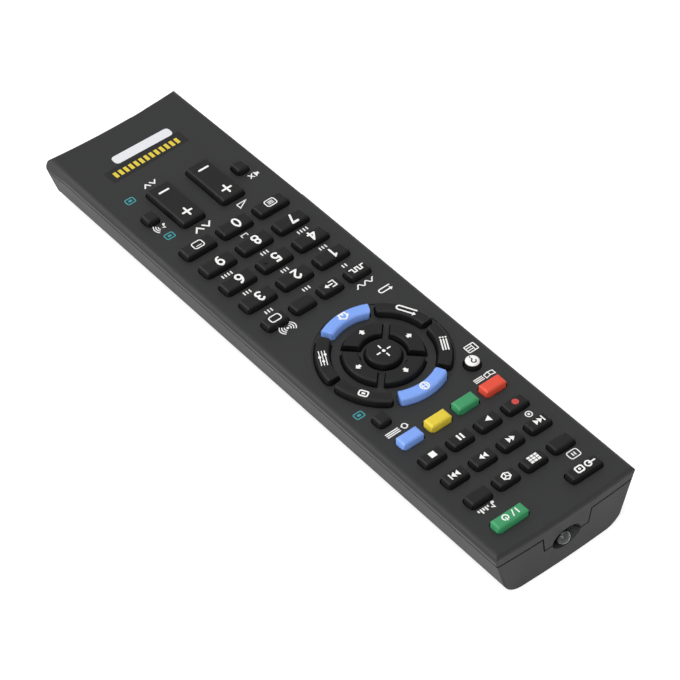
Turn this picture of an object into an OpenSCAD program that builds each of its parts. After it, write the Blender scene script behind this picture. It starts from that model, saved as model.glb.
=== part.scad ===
// Universal remote control with a full keypad, two shells and a sliding battery cover
// Millimetres; origin under the middle of the case, +Y to the emitter end, +Z up from the table

/* [Case] */
// Overall length of the case
case_length = 201; // [200.4:0.2:203]
// Half width at the top edge, mid length, before the edge is rounded
half_width = 26; // [25.7:0.1:26.3]
// Widening of each flank per mm of length towards the emitter end
flank_taper = 0.0048; // [0:0.0004:0.0056]
// Lean of each flank per mm of height
flank_lean = 0.3; // [0.28:0.01:0.3]
// Height of the case without keys
case_height = 18.8; // [18.8:0.1:19.6]
// Depth of the joint between the two shells below the key face
parting_depth = 4; // [3.8:0.1:4.2]
// Radius between flank and underside
keel_radius = 7.2; // [6.6:0.2:7.4]
// Radius of the long top edges
edge_radius = 1.8; // [1.4:0.1:2]
// Fuller radius of the top edges at the battery end
heel_radius = 2.9; // [2.6:0.1:3.2]
// Length over which the top edges swell to the fuller radius
heel_length = 46; // [40:1:50]
// Outward flare of the sides at the battery end, fading out towards the underside
flare_reach = 0.85; // [0.6:0.05:1]
// Length of the flare of the sides
flare_length = 11; // [10:0.5:13]
// Outward bow of the emitter end across the width
bow_depth = 0.75; // [0.5:0.05:0.9]
// Inward curve of the battery end across the width
hollow_depth = 1.2; // [0.8:0.1:1.4]
// Radius of the upright corners at the emitter end
near_corner = 0.5; // [0.4:0.1:0.8]
// Radius of the upright corners at the battery end
far_corner = 1.4; // [1.2:0.1:1.8]
// Thickness of the side walls and the floor
wall = 1.8; // [1.6:0.1:1.8]
// Thickness of the face that holds the keys
face_wall = 1.5; // [1.4:0.1:1.5]
// Height of the visible groove between the shells
seam_gap = 0.5; // [0.3:0.05:0.6]
// Depth of the visible groove between the shells
seam_depth = 0.9; // [0.6:0.1:1]

/* [Emitter] */
// Half width of the tongue round the emitter, at its root
tongue_root = 8.8; // [8.4:0.1:9.2]
// Half width of the tongue round the emitter, at its tip
tongue_tip = 8; // [7.8:0.1:8.2]
// Depth of the emitter and of the tongue's lower edge below the key face
emitter_depth = 9.4; // [9.2:0.1:9.6]
// Width of the recess round the emitter
recess_width = 10.6; // [10:0.2:11]
// Height of the recess round the emitter
recess_height = 7.2; // [7:0.1:7.4]
// Depth of the recess round the emitter
recess_depth = 2.2; // [2:0.1:2.4]
// Narrowing of the recess on each side towards its floor
recess_slope = 1.1; // [0.9:0.1:1.2]
// Gap between the tongue and the lower shell
tongue_gap = 0.4; // [0.2:0.05:0.45]
// Diameter of the emitter body
emitter_diameter = 5; // [4.8:0.1:5]
// Length of the emitter's straight body
emitter_body = 5.6; // [5.2:0.1:6]
// Reach of the emitter's tip beyond the emitter end
emitter_reach = 1.4; // [1:0.1:1.6]
// Sideways place of the emitter in its recess
emitter_side = 0.9; // [0:0.1:1]
// Gap round the emitter in its hole
emitter_gap = 0.35; // [0.3:0.05:0.4]
// Spacing of the emitter's legs
leg_pitch = 2.54; // [2.4:0.02:2.6]
// Thickness of the emitter's legs
leg_thick = 0.5; // [0.4:0.05:0.6]

/* [Keys] */
// Height of the keys above the case
key_rise = 2; // [1.8:0.1:2.2]
// Travel of a key when it is pressed
key_travel = 1; // [0.8:0.1:1]
// Gap round a key in its opening
key_gap = 0.36; // [0.3:0.02:0.4]
// Narrowing of a key on each side from the case to its top
key_draft = 0.22; // [0.1:0.02:0.3]
// Rounding of a key's top edge
key_edge = 0.95; // [0.7:0.05:1]
// Rounding of a key's upright corners
key_corner = 1.25; // [1.2:0.05:1.4]
// Size of the keys in the rows of four
small_key = [7.8, 4.4];
// Size of the keys in the digit block
digit_key = [11.1, 5];
// Size of the two keys at the emitter end
head_key = [11.5, 4.3];
// Size of the two long rockers
rocker_key = [8.4, 18.2];
// Size of the small square keys
square_key = [4.4, 4.4];
// Diameter of the round key
round_diameter = 4.9; // [4.6:0.1:5.2]
// Distance of the touch dot from the middle of its key
dot_offset = 3.4; // [3:0.1:3.8]
// Radius of the touch dot
dot_radius = 0.5; // [0.4:0.05:0.6]
// Height of the touch dot
dot_height = 0.3; // [0.2:0.05:0.4]

/* [Key layout] */
// Spacing of the keys in the rows of four
small_pitch = 10.24; // [10.2:0.02:10.3]
// Spacing of the rows above the ring
row_pitch = 9.37; // [9.2:0.01:9.4]
// Distance of the first row of four from the emitter end
row_start = 19.75; // [19.5:0.05:20]
// Sideways place of the two end keys
head_x = 13.77; // [13.6:0.01:13.9]
// Distance of the two end keys from the emitter end
head_start = 8.8; // [8.6:0.1:9]
// Sideways place of the four small keys beside the ring and the rockers
side_x = 16.9; // [16.8:0.1:17.1]
// Distance of the round key and its neighbour from the emitter end
help_start = 58; // [57.8:0.1:58.1]
// Distance of the row under the ring from the emitter end
mode_start = 105.9; // [105.7:0.1:106.1]
// Sideways spacing of the digit block
digit_pitch_x = 13.64; // [13.5:0.02:13.7]
// Lengthwise spacing of the digit block
digit_pitch_y = 9.08; // [9:0.02:9.2]
// Distance of the first digit row from the emitter end
digit_start = 115.5; // [115.3:0.1:115.7]
// Sideways place of the rockers
rocker_x = 7.45; // [7.3:0.05:7.6]
// Distance of the rockers and the keys beside them from the emitter end
rocker_start = 160.8; // [160.6:0.1:161]
// Distance of each stem of a rocker from its axis
rocker_stem = 6; // [5.5:0.1:6.5]

/* [Ring] */
// Distance of the ring's centre from the emitter end
ring_start = 76.55; // [76.4:0.05:76.7]
// Radius of the shallow recess round the ring
ring_recess = 20.4; // [20.2:0.1:20.8]
// Depth of the shallow recess round the ring
ring_depth = 0.25; // [0.15:0.05:0.3]
// Outer radius of the six ring keys
ring_outer = 19.6; // [19.4:0.1:19.7]
// Inner radius of the six ring keys
ring_inner = 15.2; // [15:0.1:15.6]
// Half angle covered by a ring key, in degrees
ring_half = 27; // [26:0.5:27.5]
// Outer radius of the direction keys
way_outer = 12.1; // [11.8:0.1:12.4]
// Inner radius of the direction keys
way_inner = 6.9; // [6.9:0.1:7.2]
// Step down from the other keys to the tops of the direction keys
way_drop = 0.2; // [0.1:0.05:0.3]
// Reach of the flanges of the direction keys and the centre key
way_reach = 0.55; // [0.5:0.05:0.6]
// Width of the slots between the direction keys
way_slot = 2.4; // [2.2:0.1:2.6]
// Radius of the centre key
centre_radius = 5.4; // [5.2:0.1:5.5]

/* [Inside] */
// Gap between a key's flange and the underside of the face
flange_gap = 0.2; // [0.2:0.02:0.24]
// Thickness of a key's flange
flange_thick = 0.7; // [0.6:0.05:0.7]
// Reach of a key's flange beyond the key
flange_reach = 0.7; // [0.6:0.05:0.75]
// Radius of the stem under a key
stem_radius = 1.1; // [1:0.05:1.1]
// Gap round a stem in the mat
stem_gap = 0.45; // [0.4:0.05:0.5]
// Space left under a fully pressed key
press_spare = 0.2; // [0.15:0.05:0.25]
// Thickness of the keypad mat
mat_thick = 0.8; // [0.7:0.05:0.8]
// Thickness of the circuit board
board_thick = 1.2; // [1:0.1:1.2]
// Gap between the circuit board and each side wall
board_gap = 1; // [0.8:0.1:1.2]
// Distance of the circuit board from the battery end
board_start = 26.5; // [25.5:0.5:27.5]
// Distance of the circuit board from the emitter end
board_end = 7.5; // [7:0.5:8.5]
// Radius of the pegs that hold the mat down
peg_radius = 1; // [0.8:0.1:1]
// Radius of the posts that carry the board
post_radius = 2.4; // [2:0.1:2.6]
// Distance of each post from the middle
post_offset = 13; // [12:0.5:14]
// Distances of the posts from the emitter end
post_start = [16.5, 84.5];
// Size of the control chip under the board
chip_size = [10, 6.2, 1.6];
// Size of the resonator under the board
resonator_size = [5, 2.2, 3.2];
// Radius of the capacitor under the board
capacitor_radius = 2.5; // [2:0.1:2.6]
// Height of the capacitor under the board
capacitor_height = 5.5; // [5:0.1:6]

/* [Batteries] */
// Space over a cell in its bay
cell_gap = 0.3; // [0.3:0.05:0.5]
// Space between a cell and the cover
cell_seat = 0.2; // [0.2:0.05:0.3]
// Space between the two cells
cell_between = 0.7; // [0.6:0.05:0.8]
// Length of a cell with its button
cell_length = 44.5; // [44:0.1:44.5]
// Diameter of a cell's button
button_diameter = 3.8; // [3.6:0.1:4]
// Height of a cell's button
button_height = 1; // [0.8:0.1:1.2]
// Distance of the battery bay's centre from the battery end
bay_start = 34.5; // [34:0.5:35.5]
// Thickness of the battery bay's walls
bay_wall = 1.2; // [1:0.1:1.4]
// Thickness of the battery bay's roof
roof_thick = 0.7; // [0.6:0.05:0.8]
// Thickness of the battery cover
cover_thick = 1.5; // [1.4:0.1:1.5]
// Half width of the battery cover
cover_half = 13; // [12.8:0.1:13.2]
// Reach of the cover's guide rails
rail_reach = 1; // [0.8:0.1:1.1]
// Thickness of the cover's guide rails
rail_thick = 0.8; // [0.6:0.1:0.8]
// Running gap round the battery cover
cover_gap = 0.2; // [0.2:0.02:0.26]
// Reach of the cover beyond the battery bay
cover_lap = 4.5; // [4:0.5:5]
// Width of the longest finger groove in the cover
grip_width = 12; // [10:0.5:14]
// Spacing of the finger grooves
grip_pitch = 2; // [1.8:0.1:2.2]
// Depth of the finger grooves
grip_depth = 0.4; // [0.3:0.05:0.5]
// Length of a fitted contact spring
spring_length = 5; // [4.8:0.1:5.2]
// Radius of a contact spring's wide end
spring_radius = 3; // [2.8:0.1:3.2]
// Turns of a contact spring
spring_turns = 4; // [3:1:4]
// Wire thickness of a contact spring
spring_wire = 0.6; // [0.5:0.05:0.6]
// Thickness of the contact plates
contact_thick = 0.4; // [0.3:0.05:0.4]

/* [Hidden] */
$fn = 64;
big = 140;
lean_angle = atan(flank_lean);
flare_lean = atan(flank_lean + flare_reach / case_height);
taper_angle = atan(flank_taper);
// Lift of the end roundings, so that they run out of the face at a small angle
edge_skim = edge_radius * 0.04;
// Joint between the shells, and the emitter
parting_height = case_height - parting_depth;
emitter_height = case_height - emitter_depth;
// Heights of the stack under the key face, from the top down
face_under = case_height - face_wall;
flange_top = face_under - flange_gap;
flange_bottom = flange_top - flange_thick;
mat_top = flange_bottom - key_travel - press_spare;
mat_bottom = mat_top - mat_thick;
board_bottom = mat_bottom - board_thick;
// Stem of a key stops just above the board when the key is pressed
stem_bottom = mat_bottom + key_travel + press_spare;
key_top = case_height + key_rise;
// Ends of the case
emitter_end = case_length / 2;
battery_end = -case_length / 2;
half_end = half_width - 0.5;
bow_radius = half_end * half_end / (2 * bow_depth);
hollow_radius = half_end * half_end / (2 * hollow_depth);
// Lengthwise places of the keys
head_y = emitter_end - head_start;
help_y = emitter_end - help_start;
ring_y = emitter_end - ring_start;
mode_y = emitter_end - mode_start;
rocker_y = emitter_end - rocker_start;
// Circuit board
board_half = half_width - flank_lean * (case_height - board_bottom) - wall / cos(lean_angle) - board_gap;
board_far = battery_end + board_start;
board_near = emitter_end - board_end;
// Battery bay
bay_roof = board_bottom - roof_thick;
cell_diameter = bay_roof - cover_thick - cell_seat - cell_gap;
cell_offset = (cell_diameter + cell_between) / 2;
cell_height = cover_thick + cell_seat + cell_diameter / 2;
bay_centre = battery_end + bay_start;
bay_length = cell_length + spring_length + 2 * contact_thick;
bay_far = bay_centre - bay_length / 2;
bay_near = bay_centre + bay_length / 2;
bay_half = cell_offset + cell_diameter / 2 + cell_between;
contact_side = cell_diameter * 0.8;
cover_near = bay_near + cover_lap;
spring_pitch = (spring_length - spring_wire) / spring_turns;
spring_clear = spring_pitch - spring_wire;
echo("least gap between spring turns, mm", spring_clear);
way_middle = (way_inner + way_outer) / 2;
ring_middle = (ring_inner + ring_outer) / 2;
led_nose = emitter_end + emitter_reach - emitter_diameter / 2;
led_back = led_nose - emitter_body;
shell_grey = [0.14, 0.14, 0.145];
cap_black = [0.06, 0.06, 0.065];
cap_blue = [0.36, 0.52, 0.86];
cap_green = [0.16, 0.55, 0.32];
cap_red = [0.86, 0.24, 0.18];
cap_yellow = [0.9, 0.83, 0.2];

// Part to draw

function row_y(i) = emitter_end - row_start - i * row_pitch;
function col_x(i) = (i - 1.5) * small_pitch;
function digit_x(i) = (i - 1) * digit_pitch_x;
function digit_y(i) = emitter_end - digit_start - i * digit_pitch_y;

// Points along an arc, for outlines that are extruded
function arc(x, y, radius, from, to, steps) =
  [for (k = [0 : steps])
    let (a = from + (to - from) * k / steps)
    [x + radius * cos(a), y + radius * sin(a)]];

// Half section of the case to the inside of the right flank, drawn inset by a wall
module flank_section(inset, floor_at, roof_at, keel, edge, steps) {
  reach = half_width - inset / cos(lean_angle);
  keel_x = reach - flank_lean * (case_height - floor_at - keel) - keel / cos(lean_angle);
  edge_x = reach - flank_lean * (case_height - roof_at + edge) - edge / cos(lean_angle);
  polygon(concat(
    [[-60, floor_at]],
    arc(keel_x, floor_at + keel, keel, -90, -lean_angle, 2 * steps),
    arc(edge_x, roof_at - edge, edge, -lean_angle, 90, steps),
    [[-60, roof_at]]));
}

// Space between the two flanks
module between_flanks(inset, floor_at, roof_at, keel, edge, steps) {
  intersection() {
    rotate([0, 0, -taper_angle])
      rotate([90, 0, 0])
        linear_extrude(2 * big, center = true)
          flank_section(inset, floor_at, roof_at, keel, edge, steps);
    mirror([1, 0, 0])
      rotate([0, 0, -taper_angle])
        rotate([90, 0, 0])
          linear_extrude(2 * big, center = true)
            flank_section(inset, floor_at, roof_at, keel, edge, steps);
  }
}

// Space beyond the bowed emitter end, flared over the rounded top edge
module bow_cut() {
  edge_z = case_height - edge_radius + edge_skim;
  translate([0, emitter_end - bow_radius, 0])
    rotate_extrude($fn = 360)
      difference() {
        translate([bow_radius - edge_radius, -5])
          square([60, case_height + 10]);
        translate([bow_radius - edge_radius - 1, -6])
          square([edge_radius + 1, edge_z + 6]);
        translate([bow_radius - edge_radius, edge_z])
          circle(edge_radius);
      }
}

// Space beyond the hollow battery end, flared over the rounded top edge
module hollow_cut() {
  edge_z = case_height - edge_radius + edge_skim;
  translate([0, battery_end + hollow_depth - hollow_radius, 0])
    rotate_extrude($fn = 360)
      difference() {
        translate([hollow_radius - 60, -5])
          square([60 + edge_radius, case_height + 10]);
        translate([hollow_radius, -6])
          square([edge_radius + 1, edge_z + 6]);
        translate([hollow_radius + edge_radius, edge_z])
          circle(edge_radius);
      }
}

// What is cut away to round one upright corner, along its lean
module upright_cut(x, y, radius, lean) {
  out = radius + 4;
  translate([x, y, 0])
    rotate([0, lean, 0])
      translate([-radius, -radius, -6])
        linear_extrude(34)
          polygon(concat(
            [[out, 0]],
            arc(0, 0, radius, 0, 90, 6),
            [[0, out], [out, out]]));
}

// What is cut away to let a top edge swell to the fuller radius at the battery end
module heel_cut() {
  sink = (heel_radius - edge_radius) * 0.414;
  swing = atan(sink / heel_length);
  x_end = half_width - flank_taper * case_length / 2;
  out = heel_radius + 8;
  brim = 30;
  translate([x_end - flank_lean * heel_radius, battery_end, case_height])
    rotate([swing, 0, -swing * 0.6 - taper_angle])
      translate([-heel_radius / cos(lean_angle), -10, -heel_radius])
        rotate([-90, 0, 0])
          linear_extrude(10 + heel_length * 1.3)
            polygon(concat(
              [[heel_radius * cos(brim) + out * sin(brim), out * cos(brim) - heel_radius * sin(brim)]],
              arc(0, 0, heel_radius, -brim, -90, 7),
              [[0, -out], [2 * out, -out]]));
}

// Flared side of the case at the battery end
module flare_side() {
  swing = atan(flare_reach / flare_length);
  start = battery_end + flare_length;
  inner = half_width / 2;
  intersection() {
    translate([half_width + flank_taper * start, start, case_height])
      rotate([0, flare_lean - lean_angle, swing])
        translate([-half_width, 0, -case_height])
          rotate([90, 0, 0])
            linear_extrude(flare_length + 4)
              flank_section(0, 0, case_height, keel_radius, edge_radius, 9);
    translate([inner, battery_end - 4, 0])
      cube([half_width, flare_length + 8, case_height]);
  }
}

// What is cut away at both ends and at the upright corners
module ends_cut() {
  corner_x = half_width - flank_lean * case_height;
  corner_grow = flank_taper * case_length / 2;
  bow_cut();
  hollow_cut();
  for (side = [0, 1])
    mirror([side, 0, 0]) {
      upright_cut(corner_x + corner_grow, emitter_end - bow_depth, near_corner, lean_angle);
      mirror([0, 1, 0])
        upright_cut(corner_x - corner_grow, emitter_end - hollow_depth * 0.14, far_corner, flare_lean);
    }
}

// Outer shape of the two shells together
module case_body() {
  difference() {
    union() {
      between_flanks(0, 0, case_height, keel_radius, edge_radius, 9);
      for (side = [0, 1])
        mirror([side, 0, 0]) flare_side();
    }
    ends_cut();
    for (side = [0, 1])
      mirror([side, 0, 0]) heel_cut();
  }
}

// Hollow inside of the case
module case_room() {
  intersection() {
    between_flanks(wall, wall, face_under, keel_radius - wall, 0.4, 4);
    translate([-big, battery_end + wall + hollow_depth, -1])
      cube([2 * big, case_length - 2 * wall - hollow_depth - bow_depth, case_height + 2]);
  }
}

module above_parting() {
  translate([-big, -big, parting_height])
    cube([2 * big, 2 * big, case_height]);
}

module below_parting() {
  translate([-big, -big, -1])
    cube([2 * big, 2 * big, parting_height + 1]);
}

// Tongue of the upper shell in the emitter end
module tongue(grow) {
  translate([0, emitter_end + 1, 0])
    rotate([90, 0, 0])
      linear_extrude(wall + bow_depth + 1 + grow)
        polygon([
          [-tongue_root - grow, parting_height + 0.5],
          [-tongue_root - grow, parting_height - 0.4],
          [-tongue_tip - grow, emitter_height - grow],
          [tongue_tip + grow, emitter_height - grow],
          [tongue_root + grow, parting_height - 0.4],
          [tongue_root + grow, parting_height + 0.5]]);
}

// Points round the oval emitter recess, from its mouth at 0 to its floor at 1
function recess_ring(t, sides) =
  [for (k = [0 : sides - 1])
    let (a = 360 * k / sides)
    let (across = recess_width / 2 - t * recess_slope)
    let (upward = recess_height / 2 - t * recess_slope)
    [across * cos(a), -recess_depth * t, upward * sin(a)]];

// Recess that narrows inwards, with the through hole of the emitter
module emitter_recess() {
  sides = 36;
  ring = [for (k = [0 : sides - 1]) k];
  mouth_cap = [ring];
  floor_cap = [[for (k = ring) 2 * sides - 1 - k]];
  skin = [for (k = ring) each [
    [sides + k, sides + (k + 1) % sides, (k + 1) % sides],
    [sides + k, (k + 1) % sides, k]]];
  translate([0, emitter_end, emitter_height]) {
    polyhedron(
      points = concat(recess_ring(-0.2, sides), recess_ring(1, sides)),
      faces = concat(mouth_cap, floor_cap, skin),
      convexity = 4);
    translate([emitter_side, 1, 0])
      rotate([90, 0, 0])
        cylinder(h = 8, r = emitter_diameter / 2 + emitter_gap);
  }
}

// Rounded rectangle about the origin
module soft_square(size, radius) {
  square([size[0], size[1] - 2 * radius], center = true);
  square([size[0] - 2 * radius, size[1]], center = true);
  for (x = [-1, 1])
    for (y = [-1, 1])
      translate([x * (size[0] / 2 - radius), y * (size[1] / 2 - radius)])
        circle(radius);
}

// Wedge of the plane about +Y
module wedge(half) {
  polygon([[0, 0], [60 * sin(half), 60 * cos(half)], [-60 * sin(half), 60 * cos(half)]]);
}

module band(inner, outer) {
  difference() {
    circle(outer);
    circle(inner);
  }
}

// Plan of a ring key with rounded corners, about +Y
module ring_plan(inner, outer, half, radius) {
  middle = (inner + outer) / 2;
  near_turn = asin(radius / (inner + radius));
  far_turn = asin(radius / (outer - radius));
  intersection() {
    band(inner + radius, outer - radius);
    wedge(half);
  }
  intersection() {
    band(inner, middle);
    wedge(half - near_turn);
  }
  intersection() {
    band(middle, outer);
    wedge(half - far_turn);
  }
  for (side = [-1, 1]) {
    rotate(side * (half - near_turn))
      translate([0, inner + radius])
        circle(radius);
    rotate(side * (half - far_turn))
      translate([0, outer - radius])
        circle(radius);
  }
}

// Outline of the opening round a ring key, as points along its arcs, about +Y
module ring_opening(inner, outer, half, radius) {
  near = half - asin(radius / (inner + radius));
  far = half - asin(radius / (outer - radius));
  right = concat(
    arc((outer - radius) * sin(far), (outer - radius) * cos(far), radius, 90 - far, -half, 4),
    arc((inner + radius) * sin(near), (inner + radius) * cos(near), radius, -half, -90 - near, 4));
  left = [for (i = [len(right) - 1 : -1 : 0]) [-right[i][0], right[i][1]]];
  polygon(concat(
    right,
    arc(0, 0, inner, 90 - near + 3, 90 + near - 3, 12),
    left,
    arc(0, 0, outer, 90 + far - 3, 90 - far + 3, 14)));
}

// Plan of a direction key, about +Y
module way_plan(grow) {
  intersection() {
    band(way_inner - grow, way_outer + grow);
    rotate(45)
      translate([way_slot / 2 - grow, way_slot / 2 - grow])
        square(40);
  }
}

// Side view of a key between two edges, with drafted sides and rounded top edges
module key_profile(from, to, rise) {
  low = from + key_draft;
  high = to - key_draft;
  top = case_height + rise;
  polygon([
    [from, flange_bottom],
    [to, flange_bottom],
    [to, case_height],
    [high, top - key_edge],
    [high - key_edge, top],
    [low + key_edge, top],
    [low, top - key_edge],
    [from, case_height]]);
  translate([low + key_edge, top - key_edge]) circle(key_edge);
  translate([high - key_edge, top - key_edge]) circle(key_edge);
}

module stem() {
  translate([0, 0, stem_bottom])
    cylinder(h = flange_bottom - stem_bottom + 0.1, r = stem_radius);
}

// Cap of a rectangular key
module block_cap(size, radius, rise) {
  intersection() {
    translate([0, 0, flange_bottom])
      linear_extrude(key_top + 2 - flange_bottom)
        soft_square(size, radius);
    rotate([90, 0, 0])
      linear_extrude(size[1] + 2, center = true)
        key_profile(-size[0] / 2, size[0] / 2, rise);
    rotate([90, 0, 90])
      linear_extrude(size[0] + 2, center = true)
        key_profile(-size[1] / 2, size[1] / 2, rise);
  }
}

// Rectangular key with its flange and stem
module block_key(x, y, size, radius) {
  translate([x, y, 0]) {
    block_cap(size, radius, key_rise);
    translate([0, 0, flange_bottom])
      linear_extrude(flange_thick)
        square([size[0] + 2 * flange_reach, size[1] + 2 * flange_reach], center = true);
    stem();
  }
}

module small_block(column, row) {
  block_key(col_x(column), row_y(row), small_key, key_corner);
}

module mode_block(column) {
  block_key(col_x(column), mode_y, small_key, key_corner);
}

module digit_block(column, row) {
  block_key(digit_x(column), digit_y(row), digit_key, key_corner);
}

// Round key with its flange and stem
module round_key(x, y, radius, reach) {
  translate([x, y, 0]) {
    rotate_extrude()
      intersection() {
        key_profile(-radius, radius, key_rise);
        square([radius + 1, key_top + 2]);
      }
    translate([0, 0, flange_bottom])
      cylinder(h = flange_thick, r = radius + reach);
    stem();
  }
}

// One of the six ring keys, turned from +Y
module ring_key(turn) {
  translate([0, ring_y, 0])
    rotate([0, 0, turn]) {
      intersection() {
        translate([0, 0, flange_bottom])
          linear_extrude(key_top + 2 - flange_bottom)
            ring_plan(ring_inner, ring_outer, ring_half, key_corner);
        rotate_extrude($fn = 180)
          key_profile(ring_inner, ring_outer, key_rise);
      }
      translate([0, 0, flange_bottom])
        linear_extrude(flange_thick)
          intersection() {
            band(ring_inner - flange_reach, ring_outer + flange_reach);
            wedge(ring_half);
          }
      translate([0, ring_middle, 0])
        stem();
    }
}

// One of the four direction keys, turned from +Y
module way_key(turn) {
  translate([0, ring_y, 0])
    rotate([0, 0, turn]) {
      intersection() {
        translate([0, 0, flange_bottom])
          linear_extrude(key_top + 2 - flange_bottom)
            way_plan(0);
        rotate_extrude($fn = 180)
          key_profile(way_inner, way_outer, key_rise - way_drop);
      }
      translate([0, 0, flange_bottom])
        linear_extrude(flange_thick)
          way_plan(way_reach);
      translate([0, way_middle, 0])
        stem();
    }
}

// Long rocker that tilts about the pins at its middle, with two stems
module rocker(x) {
  translate([x, rocker_y, 0]) {
    block_cap(rocker_key, key_corner, key_rise);
    translate([0, 0, flange_bottom + flange_thick / 2])
      rotate([0, 90, 0])
        cylinder(h = rocker_key[0] + 2 * flange_reach, d = flange_thick, center = true);
    for (side = [-1, 1])
      translate([0, side * rocker_stem, 0])
        stem();
  }
}

// Plans of all key openings at once, grown by a gap
module key_openings(gap) {
  small = [small_key[0] + 2 * gap, small_key[1] + 2 * gap];
  digit = [digit_key[0] + 2 * gap, digit_key[1] + 2 * gap];
  head = [head_key[0] + 2 * gap, head_key[1] + 2 * gap];
  long = [rocker_key[0] + 2 * gap, rocker_key[1] + 2 * gap];
  little = [square_key[0] + 2 * gap, square_key[1] + 2 * gap];
  turn_gap = gap / ring_middle * 180 / PI;
  for (side = [-1, 1]) {
    translate([side * head_x, head_y]) soft_square(head, key_corner + gap);
    translate([side * rocker_x, rocker_y]) soft_square(long, key_corner + gap);
    translate([side * side_x, rocker_y]) soft_square(little, key_corner + gap);
  }
  for (column = [0 : 3]) {
    for (row = [0 : 3])
      translate([col_x(column), row_y(row)]) soft_square(small, key_corner + gap);
    translate([col_x(column), mode_y]) soft_square(small, key_corner + gap);
  }
  for (column = [0 : 2])
    for (row = [0 : 3])
      translate([digit_x(column), digit_y(row)]) soft_square(digit, key_corner + gap);
  translate([-side_x, help_y]) circle(round_diameter / 2 + gap);
  translate([side_x, help_y]) soft_square(little, key_corner + gap);
  translate([0, ring_y]) {
    circle(centre_radius + gap);
    for (turn = [0 : 90 : 270])
      rotate(turn) way_plan(gap);
    for (turn = [0 : 60 : 300])
      rotate(turn)
        ring_opening(ring_inner - gap, ring_outer + gap, ring_half + turn_gap, key_corner + gap);
  }
}

// Places of all key stems
module at_stems() {
  for (side = [-1, 1]) {
    translate([side * head_x, head_y]) children();
    translate([side * rocker_x, rocker_y - rocker_stem]) children();
    translate([side * rocker_x, rocker_y + rocker_stem]) children();
    translate([side * side_x, rocker_y]) children();
    translate([side * side_x, help_y]) children();
  }
  for (column = [0 : 3]) {
    for (row = [0 : 3])
      translate([col_x(column), row_y(row)]) children();
    translate([col_x(column), mode_y]) children();
  }
  for (column = [0 : 2])
    for (row = [0 : 3])
      translate([digit_x(column), digit_y(row)]) children();
  translate([0, ring_y]) {
    children();
    for (turn = [0 : 90 : 270])
      rotate(turn) translate([0, way_middle]) children();
    for (turn = [0 : 60 : 300])
      rotate(turn) translate([0, ring_middle]) children();
  }
}

// Places between the keys where the upper shell holds the mat down
module at_pegs() {
  for (side = [-1, 1]) {
    for (row = [0.5, 2.5]) {
      translate([side * small_pitch, row_y(row), 0]) children();
      translate([side * digit_pitch_x / 2, digit_y(row), 0]) children();
    }
    translate([0, rocker_y + side * rocker_stem, 0]) children();
  }
}

// Upper shell with the key face
module top_case() {
  color(shell_grey)
    difference() {
      union() {
        difference() {
          intersection() {
            case_body();
            union() {
              above_parting();
              tongue(0);
            }
          }
          difference() {
            case_room();
            below_parting();
          }
        }
        at_pegs()
          translate([0, 0, mat_top])
            cylinder(h = face_under - mat_top + 0.1, r = peg_radius);
      }
      translate([0, 0, face_under - 1])
        linear_extrude(face_wall + 2)
          key_openings(key_gap);
      translate([0, ring_y, case_height - ring_depth])
        cylinder(h = 2, r = ring_recess);
      emitter_recess();
    }
}

// Lower shell with the battery bay and the posts for the board
module bottom_case() {
  color(shell_grey)
    difference() {
      union() {
        difference() {
          intersection() {
            case_body();
            below_parting();
          }
          case_room();
        }
        translate([-bay_half - bay_wall, bay_far - bay_wall, wall - 0.2])
          cube([2 * (bay_half + bay_wall), bay_length + 2 * bay_wall, board_bottom - wall + 0.2]);
        for (side = [-1, 1])
          for (start = post_start)
            translate([side * post_offset, emitter_end - start, wall - 0.2])
              cylinder(h = board_bottom - wall + 0.2, r = post_radius);
      }
      translate([-bay_half, bay_far, -1])
        cube([2 * bay_half, bay_length, bay_roof + 1]);
      cover_track(cover_gap);
      tongue(tongue_gap);
      emitter_recess();
      difference() {
        translate([-big, -big, parting_height - seam_gap])
          cube([2 * big, 2 * big, seam_gap + 1]);
        intersection() {
          between_flanks(seam_depth, -1, case_height + 1, 1, 1, 2);
          translate([-big, battery_end + hollow_depth + seam_depth, -1])
            cube([2 * big, case_length - hollow_depth - bow_depth - 2 * seam_depth, case_height + 2]);
        }
      }
    }
}

// Slot for the battery cover, open at the battery end
module cover_track(gap) {
  translate([-cover_half - gap, -big, -1])
    cube([2 * (cover_half + gap), big + cover_near + gap, cover_thick + 1 + gap]);
  translate([-cover_half - rail_reach - gap, -big, cover_thick - rail_thick - gap])
    cube([2 * (cover_half + rail_reach + gap), big + cover_near + gap, rail_thick + 2 * gap]);
}

// Cover that slides off along the underside
module battery_cover() {
  color(shell_grey)
    difference() {
      intersection() {
        case_body();
        union() {
          translate([-cover_half, -big, -1])
            cube([2 * cover_half, big + cover_near, cover_thick + 1]);
          translate([-cover_half - rail_reach, -big, cover_thick - rail_thick])
            cube([2 * (cover_half + rail_reach), big + cover_near, rail_thick]);
        }
      }
      for (i = [0 : 4])
        translate([0, cover_near - (7 - i) * grip_pitch, 0])
          cube([grip_width * (1 - i / 12), grip_pitch * 0.45, 2 * grip_depth], center = true);
    }
}

// Rubber mat under the keys
module keypad_mat() {
  color([0.2, 0.2, 0.21])
    translate([0, 0, mat_bottom])
      linear_extrude(mat_thick)
        difference() {
          translate([-board_half, board_far])
            square([2 * board_half, board_near - board_far]);
          at_stems() circle(stem_radius + stem_gap);
        }
}

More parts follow.
